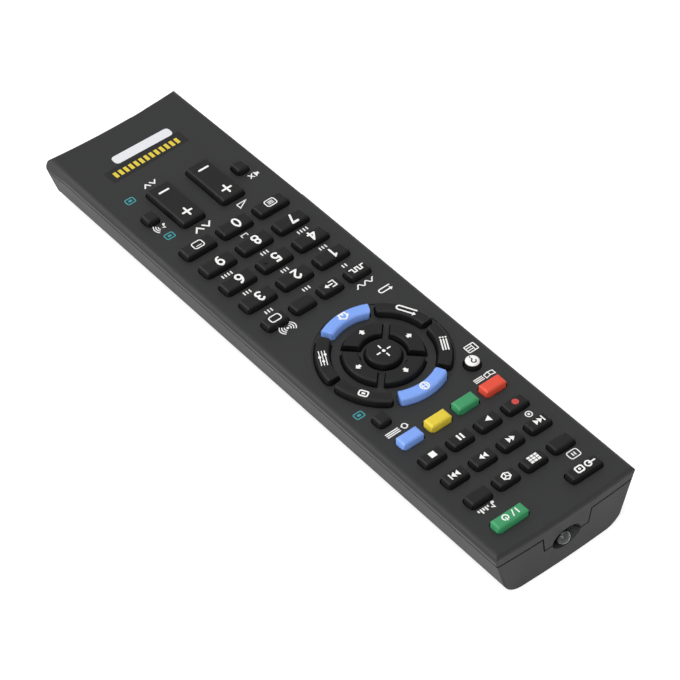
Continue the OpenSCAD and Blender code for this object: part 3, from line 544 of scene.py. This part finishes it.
def level_bars(heights, pitch=0.85, width=0.5):
    """Upright bars of the heights given, standing on one line."""
    return [block_sign(i * pitch, tall / 2 - 0.8, width, tall) for i, tall in enumerate(heights)]


def wave_sign():
    """Two and a half periods of a sine."""
    x = np.linspace(-3.3, 3.3, 61)
    return [stroke(np.stack([x, 0.62 * np.sin(x * 2.38)], axis=1), 0.4)]


def pulse_sign():
    """Square wave."""
    x = np.repeat(np.array([-2.5, -1.5, -0.5, 0.5, 1.5, 2.5]), 2)[1:-1]
    y = np.repeat(np.array([-0.7, 0.7, -0.7, 0.7, -0.7]), 2)
    return [stroke(np.stack([x, y], axis=1), 0.42)]


def ripple_sign():
    """Dot with arcs spreading from each side."""
    rings = [stroke(arc(0, 0, r, r * 0.8, way - 44, way + 44, 8), 0.34)
             for r in (1.05, 1.85, 2.65) for way in (0, 180)]
    return [plate(ring(0, 0, 0.42, steps=14))] + rings


def chevron_pair(wide=1.9, tall=1.2, width=0.46):
    """One chevron up and one down, side by side."""
    half = wide / 2
    return [stroke(line((x - half, -rise), (x, rise), (x + half, -rise)), width)
            for x, rise in ((-half - 0.3, tall / 2), (half + 0.3, -tall / 2))]


def book_sign():
    """Open book: two leaves that meet at a spine."""
    leaf = [stroke(line((0, -0.75), (0, 0.6), (1.6, 0.9), (1.6, -0.45)), 0.32, True)]
    return leaf + [(b * [-1, 1], a * [-1, 1], c) for a, b, c in leaf]


def sync_sign():
    """Two arcs chasing each other round a circle, each with a solid head."""
    one = [stroke(arc(0, 0, 0.85, 0.85, 15, 150, 10), 0.34),
           plate(line((-1.25, 0.42), (-0.4, 0.42), (-0.83, -0.22)))]
    return one + placed(one, turn=180)


def speaker_sign():
    """Loudspeaker outline struck out by a cross."""
    horn = line((-1.7, -0.45), (-1.1, -0.45), (-0.3, -1.1), (-0.3, 1.1), (-1.1, 0.45), (-1.7, 0.45))
    return [plate(horn), stroke(line((0.3, -0.75), (1.7, 0.75)), 0.36),
            stroke(line((0.3, 0.75), (1.7, -0.75)), 0.36)]


def door_sign():
    """Arrow leaving an open frame."""
    return [stroke(line((-0.2, 0.95), (-1.5, 0.95), (-1.5, -0.95), (-0.2, -0.95)), 0.34),
            stroke(line((-0.7, 0), (0.9, 0)), 0.38),
            plate(line((0.75, -0.75), (1.75, 0), (0.75, 0.75)))]


def power_sign():
    """Stroke, slash and broken ring with an upright bar: the common on and standby marks."""
    return [stroke(line((-2.7, -0.85), (-2.7, 0.85)), 0.4),
            stroke(line((-1.55, -0.95), (-0.75, 0.95)), 0.36),
            stroke(arc(1.55, -0.05, 0.92, 0.92, 128, 412, 22), 0.4),
            stroke(line((1.55, 0.1), (1.55, 1.05)), 0.4)]


def source_sign():
    """Arrow into a broken ring, beside a framed block."""
    return [stroke(arc(-1.5, 0, 0.95, 0.95, -145, 145, 20), 0.46),
            stroke(line((-3.9, 0), (-2.1, 0)), 0.46),
            plate(line((-2.4, -0.65), (-1.4, 0), (-2.4, 0.65))),
            stroke(frame_path(1.7, 0, 2.4, 2.0, 0.5), 0.5, True),
            plate(ring(1.7, 0, 0.42, steps=14))]


def question_sign():
    """Hook over a dot."""
    hook = np.concatenate([arc(0, 0.5, 0.62, 0.6, 170, -50, 12), line((0, -0.2), (0, -0.5))])
    return [stroke(hook, 0.36), plate(ring(0, -1.12, 0.24, steps=12))]


def tick_row(count):
    """A short row of plain ticks."""
    places = (np.arange(count) - (count - 1) / 2) * 1.05
    return [stroke(line((x, -0.45), (x, 0.45)), 0.44) for x in places]


# Shells and keys: the solids of the frame with their finishes

# Degrees for bends, millimetres for places, and parts of a unit normal for directions
SHARP_ANGLE = 32.0
MERGE = 0.002
FLAT_BEND, FLAT_ROUNDS = 0.4, 40
NORMAL_STEPS = 2000
TINY = 1e-12
FEWEST_FACES = 20
ROLL_START, ROLL_HALF, ROLL_MARGIN = 98.5, 20.0, 0.01
ROLL_OUT, ROLL_UP, ROLL_ASIDE = 0.2, 0.1, 0.1
END_START, END_OUT, END_UP = 99.2, 0.97, 0.03


def column(items, field, width=1):
    """One field of every item of a mesh, as an array with a row for each."""
    values = np.zeros(len(items) * width)
    items.foreach_get(field, values)
    return values.reshape(-1, width) if width > 1 else values


def flat_areas(facing, area, pair):
    """Area of the whole flat that each face lies in.

    A flat is the faces joined by edges that hardly bend: each face takes the lowest number among
    them, passed from face to face.
    """
    cosine = np.sum(facing[pair[:, 0]] * facing[pair[:, 1]], axis=1)
    one, other = pair[cosine > np.cos(np.radians(FLAT_BEND))].T
    flat = np.arange(len(facing))
    for _ in range(FLAT_ROUNDS):
        lowest = np.minimum(flat[one], flat[other])
        np.minimum.at(flat, one, lowest)
        np.minimum.at(flat, other, lowest)
        flat = flat[flat]
    return np.bincount(flat, weights=area, minlength=len(facing))[flat]


def corner_angles(spot):
    """Angle at every corner of the triangles whose corners are given three by three."""
    triangle = spot.reshape(-1, 3, 3)
    after, before = ((np.roll(triangle, step, axis=1) - triangle).reshape(-1, 3)
                     for step in (-1, 1))
    reach = np.linalg.norm(after, axis=1) * np.linalg.norm(before, axis=1)
    return np.arccos(np.clip(np.sum(after * before, axis=1) / (reach + TINY), -1, 1))


def even_normals(mesh):
    """Normal of every face corner: rounded edges shade smoothly and flats stay flat.

    Corners that meet at a point with no sharp edge between them share the mean of their faces'
    normals, each weighted by its corner's angle and by the area of the whole flat that the face
    lies in. On the bowed ends of the case the normal turns evenly with the distance from the
    middle, and on their rolled top edges it also rises evenly with the height.
    """
    point = column(mesh.loops, "vertex_index").astype(int)
    spot = column(mesh.vertices, "co", 3)[point]
    shared = column(mesh.corner_normals, "vector", 3)
    facing, middle = column(mesh.polygons, "normal", 3), column(mesh.polygons, "center", 3)
    area = column(mesh.polygons, "area")
    face = np.repeat(np.arange(len(facing)), 3)
    pair = face[np.argsort(column(mesh.loops, "edge_index"), kind="stable")].reshape(-1, 2)
    weight = corner_angles(spot) * flat_areas(facing, area, pair)[face]
    meeting = np.column_stack([point, np.round(shared * NORMAL_STEPS)])
    fan = np.unique(meeting, axis=0, return_inverse=True)[1].ravel()
    pull = facing[face] * weight[:, None]
    mean = np.stack([np.bincount(fan, weights=pull[:, axis]) for axis in range(3)], axis=1)[fan]

    def fit(chosen, axis, value):
        """Straight line through a value of the chosen faces, each weighted by its area."""
        return np.polyfit(middle[chosen, axis], value, 1, w=np.sqrt(area[chosen]))

    for way in (1, -1):
        outward, beyond = way * facing[:, 1], way * middle[:, 1]
        rolled = ((outward > ROLL_OUT) & (facing[:, 2] > ROLL_UP)
                  & (np.abs(facing[:, 0]) < ROLL_ASIDE)
                  & (beyond > ROLL_START * MM) & (np.abs(middle[:, 0]) < ROLL_HALF * MM))
        if rolled.sum() > FEWEST_FACES:
            rise = fit(rolled, 2, facing[rolled, 2])
            turn = fit(rolled, 0, facing[rolled, 0] / facing[rolled, 1])
            below_top = spot[:, 2] < spot[rolled[face], 2].max() - ROLL_MARGIN * MM
            on_edge = np.isin(point, point[rolled[face]]) & below_top
            up = np.clip(np.polyval(rise, spot[on_edge, 2]), 0, 1)
            out = way * np.sqrt(1 - up ** 2)
            mean[on_edge] = np.stack([np.polyval(turn, spot[on_edge, 0]) * out, out, up], axis=1)
        end = (outward > END_OUT) & (np.abs(facing[:, 2]) < END_UP) & (beyond > END_START * MM)
        if end.sum() > FEWEST_FACES:
            turn = fit(end, 0, facing[end, 0] / facing[end, 1])
            on_end = np.isin(fan, fan[end[face]])
            across = np.polyval(turn, spot[on_end, 0])
            level = np.zeros_like(across)
            mean[on_end] = way * np.stack([across, level + 1, level], axis=1)
    return mean / (np.linalg.norm(mean, axis=1, keepdims=True) + TINY)


def smooth_copy(node, body, finish):
    """Merged copy of a solid with even normals between its sharp edges."""
    mesh = nodes[node].data.copy()
    work = bmesh.new()
    work.from_mesh(mesh)
    bmesh.ops.remove_doubles(work, verts=work.verts, dist=MERGE * MM)
    work.to_mesh(mesh)
    work.free()
    if "custom_normal" in mesh.attributes:
        mesh.attributes.remove(mesh.attributes["custom_normal"])
    mesh.materials.clear()
    mesh.materials.append(finish)
    mesh.shade_smooth()
    mesh.set_sharp_from_angle(angle=np.radians(SHARP_ANGLE))
    mesh.normals_split_custom_set(even_normals(mesh).tolist())
    made = shown(node + "_skin", mesh)
    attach(made, body)
    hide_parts(node)


FINISH_OF = {"keypad_mat": MAT, "circuit_board": BOARD, "ir_led": EPOXY, "battery_contacts": STEEL,
             "key_power": GREEN, "key_green": GREEN, "key_red": RED, "key_yellow": YELLOW,
             "key_blue": BLUE, "key_ring_top": BLUE, "key_ring_bottom": BLUE}
for node_name, solid in nodes.items():
    solid.data.materials.clear()
    solid.data.materials.append(FINISH_OF.get(node_name, BLACK))

smooth_copy("top_case", "case", SHELL)
smooth_copy("bottom_case", "case", LOWER_SHELL)
smooth_copy("battery_cover", "cover", SHELL)
for node_name in sorted(nodes):
    if node_name.startswith(("key_", "rocker_")):
        rubber = FINISH_OF.get(node_name, BLACK)
        smooth_copy(node_name, node_name + "_body", rubber)


# Cells, springs and the emitter's lead frame

# Steps round, an angle in degrees, and millimetres
CELL_STEPS, CELL_SHARP_ANGLE = 48, 40
SPRING_LENGTH = 5.0
CUP_STEPS = 32
LEADS_BACK = 8.0


def spun(profile, steps):
    """Points and faces of a solid of revolution: a profile of radius and length, swept round.

    The first and last rings are closed by a flat face each.
    """
    turn = np.linspace(0, 2 * np.pi, steps, endpoint=False)[None, :]
    radius, along = profile[:, :1], profile[:, 1:]
    points = np.stack([radius * np.cos(turn), along + 0 * turn, radius * np.sin(turn)], axis=2)
    wall = tube_faces(len(profile), steps)[:, OTHER_WAY_ROUND].tolist()
    rim = np.arange(steps)
    caps = [rim.tolist(), (rim + (len(profile) - 1) * steps)[::-1].tolist()]
    return points.reshape(-1, 3), wall + caps


def cell(x, z, flat_end, button_end, wide):
    """Points and faces of one cell, and each point's share of the length from the flat end.

    Crimped rims, a shrunk jacket and a button are one profile, spun about the cell's length.
    """
    length = abs(button_end - flat_end)
    way = np.sign(button_end - flat_end)
    radius = wide / 2
    outline = np.array([
        [radius * 0.62, 0.35], [radius * 0.68, 0.02], [radius * 0.9, 0.02], [radius * 0.96, 0.25],
        [radius * 0.97, 0.7], [radius, 0.95], [radius, length * 0.5], [radius, length - 2.4],
        [radius * 0.97, length - 2.1], [radius * 0.96, length - 1.35],
        [radius * 0.86, length - 1.0], [radius * 0.5, length - 1.02],
        [1.9, length - 0.95], [1.88, length - 0.18], [1.7, length]])
    points, faces = spun(outline, CELL_STEPS)
    faces = faces if way > 0 else [face[::-1] for face in faces]
    share = np.repeat(outline[:, 1] / length, CELL_STEPS)
    return points * [1, way, 1] + [x, flat_end, z], faces, share


cell_low, cell_high = in_mm(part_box("batteries"))
spring_low, spring_high = in_mm(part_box("battery_springs"))
cell_wide = cell_high[2] - cell_low[2]
cell_mid = cell_high[0] - cell_wide / 2
cell_level = (cell_high[2] + cell_low[2]) / 2
pair = [cell(side * cell_mid, cell_level, *ends, cell_wide) for side, ends in (
    (1, (spring_low[1] + SPRING_LENGTH, cell_high[1])),
    (-1, (spring_high[1] - SPRING_LENGTH, cell_low[1])))]
cells = piece("cell_pair", *joined([part[:2] for part in pair]), "case", JACKET, smooth=True)
cell_share = np.concatenate([share for points, faces, share in pair])
corner_of = column(cells.data.loops, "vertex_index").astype(int)
cell_uv = np.stack([cell_share[corner_of], np.zeros(len(corner_of))], axis=1)
cells.data.uv_layers.new(name="along").data.foreach_set("uv", cell_uv.ravel())
cells.data.set_sharp_from_angle(angle=np.radians(CELL_SHARP_ANGLE))
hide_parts("batteries")


def coil(x, z, start, way, wide=3.0, narrow=2.5, turns=4, wire=0.6, sides=10, per_turn=40):
    """Wire spring: a circle carried along a helix whose radius shrinks evenly from end to end."""
    part = np.linspace(0, 1, turns * per_turn + 1)[:, None]
    around = np.linspace(0, 2 * np.pi, sides, endpoint=False)[None, :]
    radius = wide + (narrow - wide) * part + wire / 2 * np.cos(around)
    turn = 2 * np.pi * turns * part
    rise = wire / 2 + (SPRING_LENGTH - wire) * part + wire / 2 * np.sin(around)
    points = np.stack([x + radius * np.cos(turn), start + way * rise, z + radius * np.sin(turn)],
                      axis=2)
    rim = np.arange(sides)
    caps = [rim[::-1].tolist(), (rim + (len(part) - 1) * sides).tolist()]
    faces = tube_faces(len(part), sides).tolist() + caps
    return points.reshape(-1, 3), faces if way > 0 else [face[::-1] for face in faces]


springs = piece("contact_springs", *joined([coil(cell_mid, cell_level, spring_low[1], 1),
                                            coil(-cell_mid, cell_level, spring_high[1], -1)]),
                "case", STEEL, smooth=True)
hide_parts("battery_springs")


def lead_frame(x, z, back, thick=0.5):
    """Stamped frame cast into the emitter.

    An anvil and a post are filled outlines cut from one sheet, and a cup is spun on the anvil.
    """
    anvil = line((-1.52, 0), (-1.02, 0), (-1.02, 1.8), (0.7, 2.4), (0.7, 3.4), (-0.7, 3.4),
                 (-1.52, 2.2))
    post = line((1.02, 0), (1.52, 0), (1.52, 3.8), (1.05, 4.5), (0.95, 4.4), (1.02, 1.6))
    cup, cup_faces = spun(line((0.75, 3.3), (1.15, 4.6), (1.02, 4.6), (0.55, 3.9)), CUP_STEPS)
    flats = [solid_of(plate(path + [x, back]), z - thick / 2, z + thick / 2)
             for path in (anvil, post)]
    return joined(flats + [(cup + [x, back, z], cup_faces)])


led_low, led_high = in_mm(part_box("ir_led"))
led_x = (led_low[0] + led_high[0]) / 2
led_z = led_low[2] + led_x - led_low[0]
leads = piece("emitter_lead_frame", *lead_frame(led_x, led_z, led_high[1] - LEADS_BACK),
              "case", STEEL)


# Legends on the keys

# Millimetres, and the share of a rounded edge that a print may reach down
KEY_EDGE, KEY_DRAFT, KEY_FLANGE = 0.95, 0.22, 0.7
EDGE_SHARE = 0.97
PIP_HEIGHT = 0.3
RIM_MIDDLE, WAY_MIDDLE = 17.4, 9.5
COAT_RADIUS = 2.12
ROCKER_SIGN = 5.4


def flat_half(size):
    """Half of the flat top of a key of this size, inside its flange, draft and rounded edge."""
    return size / 2 - KEY_FLANGE - KEY_DRAFT - KEY_EDGE


def edge_fall(out):
    """Fall of a quarter-round edge, this far out from where the flat top ends."""
    out = np.clip(out, 0, KEY_EDGE * EDGE_SHARE)
    return KEY_EDGE - np.sqrt(KEY_EDGE ** 2 - out ** 2)


def key_legend(key, shapes, finish=WHITE_INK, x=0.0, y=0.0, grow=1.0):
    """A print on the middle of a key's top, riding on that key and falling with its rounded edges.

    The top of key_5 lies below its highest point, which is a pip to feel for. The signs of the
    rockers lie wholly on their flat tops.
    """
    low, high = in_mm(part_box(key))
    middle = (low + high) / 2
    top = high[2] - (PIP_HEIGHT if key == "key_5" else 0.0)
    flat = flat_half((high - low)[:2])

    def drop(px, py):
        """The deeper of the two edge falls, across and along the key."""
        across, along = np.abs(px - middle[0]) - flat[0], np.abs(py - middle[1]) - flat[1]
        return np.maximum(edge_fall(across), edge_fall(along))

    legend(key + "_print", placed(shapes, middle[0] + x, middle[1] + y, grow=grow), top,
           key + "_body", finish, drop=None if key.startswith("rocker_") else drop)


for number in range(10):
    key_legend(f"key_{number}", digit_strokes(number), x=-0.55, y=0.1, grow=1.16)

key_legend("key_previous", [block_sign(-1.75, 0, 0.4, 2.1), wedge_sign(-0.75, -1),
                            wedge_sign(0.6, -1)])
key_legend("key_rewind", [wedge_sign(-0.7, -1), wedge_sign(0.65, -1)])
key_legend("key_forward", [wedge_sign(-0.65, 1), wedge_sign(0.7, 1)])
key_legend("key_next", [wedge_sign(-0.6, 1), wedge_sign(0.75, 1), block_sign(1.75, 0, 0.4, 2.1)])
key_legend("key_record", [plate(ring(0, 0, 1.05))], RED_INK)
key_legend("key_play", [wedge_sign(0.1, 1, 1.9, 2.2)])
key_legend("key_pause", [block_sign(-0.62, 0, 0.62, 2.1), block_sign(0.62, 0, 0.62, 2.1)])
key_legend("key_stop", [block_sign(0, 0, 2.0, 2.0)])
key_legend("key_grid", [block_sign(x, y, 1.0, 0.72)
                        for x in (-1.25, 0, 1.25) for y in (-0.94, 0, 0.94)])
key_legend("key_depth", cube_sign())
key_legend("key_source", source_sign())
key_legend("key_power", power_sign())
key_legend("key_text", screen_sign(rows=(-0.5, 0.0, 0.5)))
key_legend("key_screen", screen_sign())
key_legend("key_mode_a", pulse_sign())
key_legend("key_mode_b", door_sign(), grow=1.15)
key_legend("key_mode_d", screen_sign(3.4, 2.1, ()), grow=1.05)

ring_centre = sum(np.array(corner)[:2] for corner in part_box("key_centre")) / 2 / MM
ring_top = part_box("key_ring_top")[1][2] / MM
way_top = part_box("key_up")[1][2] / MM


def rim_legend(key, shapes, angle, radius, height, turn):
    """A print on a key of the ring, at an angle from +Y round the ring's centre."""
    around = np.radians(angle)
    x, y = ring_centre + radius * np.array([-np.sin(around), np.cos(around)])
    legend(key + "_print", placed(shapes, x, y, turn), height, key + "_body", WHITE_INK)


for place, shapes, angle, turn in (
        ("top", globe_sign(), 0, 0), ("bottom", house_sign(), 180, 0),
        ("lower_left", hook_arrow(6.2, 1.5, 0.5), 117, -63), ("upper_left", list_sign(), 60, 60),
        ("lower_right", slider_sign(), 240, 60),
        ("upper_right", boxed_dot(2.6, 1.9, 0.46), 300, -60)):
    rim_legend("key_ring_" + place, shapes, angle, RIM_MIDDLE, ring_top, turn)
for way_key, angle in (("key_up", 0), ("key_left", 90), ("key_down", 180), ("key_right", 270)):
    rim_legend(way_key, arrow_sign(), angle, WAY_MIDDLE, way_top, angle)
spokes = [stroke(line((0, 1.35), (0, 2.35)), 0.46)]
key_legend("key_centre", [plate(ring(0, 0, 0.52, steps=16))]
           + [part for turn in (0, 90, 180, 270) for part in placed(spokes, turn=turn)])

help_low, help_high = in_mm(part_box("key_help"))
help_x, help_y = (help_low + help_high)[:2] / 2
help_flat = flat_half((help_high - help_low)[0])


def help_drop(px, py):
    """Fall of the round key's edge, by the distance from its middle."""
    return edge_fall(np.hypot(px - help_x, py - help_y) - help_flat)


def round_coat(x, y, radius, top, drop, rings=10, steps=40):
    """Disc of ink: rings of points on a polar grid, falling with the surface, over a flat floor."""
    out = np.linspace(0, radius, rings + 1)[1:, None]
    turn = np.linspace(0, 2 * np.pi, steps, endpoint=False)[None, :]
    px, py = (x + out * np.cos(turn)).ravel(), (y + out * np.sin(turn)).ravel()
    pz = top + INK_COAT - drop(px, py)
    skin = np.column_stack([px, py, pz])
    rim = skin[-steps:] - [0, 0, INK_COAT + INK_ROOT]
    points = np.concatenate([skin, rim, [[x, y, top + INK_COAT], [x, y, rim[-1, 2]]]])
    faces = tube_faces(rings + 1, steps)[:, OTHER_WAY_ROUND].tolist()
    first = np.arange(steps)
    last = first + rings * steps
    crown, floor_point = len(points) - 2, len(points) - 1
    faces += [[crown, a, b] for a, b in zip(first, np.roll(first, -1))]
    faces += [[floor_point, b, a] for a, b in zip(last, np.roll(last, -1))]
    return points, faces


piece("key_help_print", *round_coat(help_x, help_y, COAT_RADIUS, help_high[2], help_drop),
      "key_help_body", WHITE_INK, smooth=True)
legend("key_help_sign", placed(question_sign(), help_x, help_y, grow=1.1), help_high[2],
       "key_help_body", DARK_INK, 2 * INK_COAT, drop=help_drop)

PLUS = [stroke(line((-1.55, 0), (1.55, 0)), 0.66), stroke(line((0, -1.55), (0, 1.55)), 0.66)]
MINUS = [stroke(line((-1.6, 0), (1.6, 0)), 0.66)]
for rocker in ("rocker_volume", "rocker_channel"):
    key_legend(rocker, placed(PLUS, y=ROCKER_SIGN) + placed(MINUS, y=-ROCKER_SIGN))


# Prints on the case

case_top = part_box("top_case")[1][2] / MM


def case_print(name, shapes, x, y, finish=WHITE_INK, turn=0.0, grow=1.0, proud=0.02):
    """A print on the flat face of the case, at a place in millimetres."""
    legend("print_" + name, placed(shapes, x, y, turn, grow), case_top, "case", finish, proud)


case_print("standby_screen", screen_sign(3.6, 2.7, ())
           + [block_sign(-0.42, 0, 0.42, 1.2), block_sign(0.42, 0, 0.42, 1.2)], -15.9, 85.4)
case_print("track", placed(note_sign(), -2.0)
           + placed(level_bars((0.7, 1.5, 1.0, 1.7, 0.8)), -0.6), 15.6, 84.8)
case_print("record_ring", [stroke(ring(0, 0, 1.0), 0.36, True), plate(ring(0, 0, 0.42, steps=14))],
           -16.4, 66.6)
case_print("book", placed(book_sign(), -2.2)
           + placed(bar_rows(3.0, (-0.55, 0.05, 0.65), 0.34), 1.6), -16.0, 48.1)
case_print("page", [stroke(frame_path(0, 0, 3.4, 2.6, 0.25), 0.36, True),
                    stroke(line((-0.6, -1.1), (-0.6, 1.1)), 0.3)]
           + placed(bar_rows(1.6, (-0.45, 0.45), 0.34), 0.55), -21.0, 37.5)
case_print("sync", placed(sync_sign(), -2.6)
           + placed(bar_rows(4.4, (-0.65, 0.0, 0.65), 0.36), 1.6), 15.7, 47.8)
case_print("turn_back", hook_arrow(4.4, 1.4, 0.42), -17.6, 4.4)
case_print("wave", wave_sign(), -14.6, -1.0)
case_print("ripple", ripple_sign(), 13.9, -1.5)
case_print("chevrons_near", chevron_pair(2.7, 1.5, 0.54), 6.8, -48.4)
case_print("chevrons_far", chevron_pair(), 7.5, -72.3)
case_print("tone", placed(note_sign(), -1.3, grow=0.9)
           + [stroke(arc(0.0, 0, r, r, -44, 44, 8), 0.34) for r in (0.8, 1.6, 2.4)],
           16.4, -56.1, grow=0.9)
case_print("silent", speaker_sign(), -18.6, -55.8)
case_print("rise", [stroke(line((-1.7, -0.8), (1.7, -0.8), (1.7, 0.95)), 0.34, True)], -8.3, -48.4)
case_print("space", [stroke(line((-1.0, 0.5), (-1.0, -0.35), (1.0, -0.35), (1.0, 0.5)), 0.34)],
           -0.3, -38.1)
DIGIT_COLUMNS = (-14.6, -0.2, 13.8)
DIGIT_ROWS = (-10.1, -19.7, -28.8)
TICKS = ((2, 3, 3), (3, 3, 3), (4, 3, 4))
ticks = [part for y, counts in zip(DIGIT_ROWS, TICKS) for x, count in zip(DIGIT_COLUMNS, counts)
         for part in placed(tick_row(count), x, y)]
case_print("ticks", ticks, 0, 0)
for i, (x, y) in enumerate(((16.4, -70.4), (16.5, -51.8), (20.2, 36.8))):
    case_print(f"teal_frame_{i}", boxed_dot(), x, y, TEAL_INK)
case_print("dark_strip", [plate(frame_path(0, 0, 28.6, 5.3, 0.2))],
           1.1, -81.9, DARK_INK, 1.0, proud=0.012)
case_print("yellow_row", [block_sign(x, 0, 1.15, 2.3) for x in np.linspace(-11.5, 11.5, 13)],
           1.3, -81.65, YELLOW_INK, 0.2, proud=0.025)
case_print("white_label", [plate(frame_path(0, 0, 21.3, 3.4, 1.2))], -0.8, -86.5, LABEL_INK, -0.9)


# Stage, light and camera

# Metres for the floor, and strengths of light
FLOOR_HALF, FLOOR_LEVEL = 2.5, -0.0001
FLOOR_LIFT = 0.58
SKY = 0.38


def camera_share(tree):
    """Socket that is 1 for rays from the camera, off a mirror or through glass, and else 0."""
    path = add(tree, "ShaderNodeLightPath")
    first = add(tree, "ShaderNodeMath", {},
                {0: path.outputs["Is Camera Ray"], 1: path.outputs["Is Glossy Ray"]},
                operation="ADD")
    both = add(tree, "ShaderNodeMath", {},
               {0: first.outputs[0], 1: path.outputs["Is Transmission Ray"]},
               operation="ADD", use_clamp=True)
    return both.outputs[0]


def pale_floor(name):
    """Matt white board: reflects most light, and shows as white to the camera and to mirrors."""
    made = bpy.data.materials.new(name)
    made.use_nodes = True
    tree = made.node_tree
    tree.nodes.clear()
    board = add(tree, "ShaderNodeBsdfDiffuse", {"Color": linear("#E6E6E6")})
    lift = add(tree, "ShaderNodeMath", {1: FLOOR_LIFT}, {0: camera_share(tree)},
               operation="MULTIPLY")
    glow = add(tree, "ShaderNodeEmission", {"Color": linear("#FFFFFF")},
               {"Strength": lift.outputs[0]})
    both = add(tree, "ShaderNodeAddShader", {},
               {0: board.outputs["BSDF"], 1: glow.outputs["Emission"]})
    add(tree, "ShaderNodeOutputMaterial", links={"Surface": both.outputs["Shader"]})
    return made


floor_mesh = bpy.data.meshes.new("floor")
floor_mesh.from_pydata([(x * FLOOR_HALF, y * FLOOR_HALF, FLOOR_LEVEL)
                        for x, y in ((-1, -1), (1, -1), (1, 1), (-1, 1))], [], [(0, 1, 2, 3)])
floor_mesh.materials.append(pale_floor("matt_white_board"))
floor = shown("floor", floor_mesh)

world = bpy.data.worlds.new("studio")
bpy.context.scene.world = world
world.use_nodes = True
studio = world.node_tree
studio.nodes.clear()
glow = add(studio, "ShaderNodeMapRange", {"To Min": SKY, "To Max": 1.0},
           {"Value": camera_share(studio)})
sky = add(studio, "ShaderNodeBackground", {"Color": linear("#FFFFFF")},
          {"Strength": glow.outputs["Result"]})
add(studio, "ShaderNodeOutputWorld", links={"Surface": sky.outputs["Background"]})


def softbox(name, place, watts, wide, tall):
    """Rectangular area lamp at a place in metres, facing the remote."""
    lamp = bpy.data.lights.new(name, "AREA")
    lamp.shape, lamp.energy, lamp.size, lamp.size_y = "RECTANGLE", watts, wide, tall
    made = shown(name, lamp)
    made.location = place
    made.rotation_euler = (-Vector(place)).to_track_quat("-Z", "Y").to_euler()


softbox("softbox_over", (0.2, 0.1, 1.5), 8.8, 1.2, 1.2)
softbox("softbox_front", (0.8, 1.1, 0.7), 5.4, 0.9, 0.9)
softbox("softbox_left", (1.15, -0.74, 0.62), 12.8, 0.5, 1.1)

# The photo's camera, fitted to the case; distances in millimetres
AZIMUTH, ELEVATION, ROLL = np.radians([41.393, 46.576, 1.189])
DISTANCE = 1053.154
TARGET = np.array([0.041, 5.279, 10.0])
SENSOR_MM, FOCAL_PIXELS, IMAGE_PIXELS = 36.0, 3680, 680
back = np.array([np.sin(AZIMUTH) * np.cos(ELEVATION), np.cos(AZIMUTH) * np.cos(ELEVATION),
                 np.sin(ELEVATION)])
level = np.cross(-back, [0, 0, 1])
level /= np.linalg.norm(level)
upright = np.cross(level, -back)
axes = np.stack([np.cos(ROLL) * level + np.sin(ROLL) * upright,
                 -np.sin(ROLL) * level + np.cos(ROLL) * upright, back], axis=1)
view = np.eye(4)
view[:3, :3] = axes
view[:3, 3] = (TARGET + DISTANCE * back) * MM
camera = shown("camera", bpy.data.cameras.new("camera"))
camera.data.sensor_width = SENSOR_MM
camera.data.lens = SENSOR_MM * FOCAL_PIXELS / IMAGE_PIXELS
camera.data.clip_start, camera.data.clip_end = 0.05, 20.0
camera.matrix_world = Matrix(view.tolist())
bpy.context.scene.camera = camera
bpy.context.scene.view_settings.view_transform = "Standard"
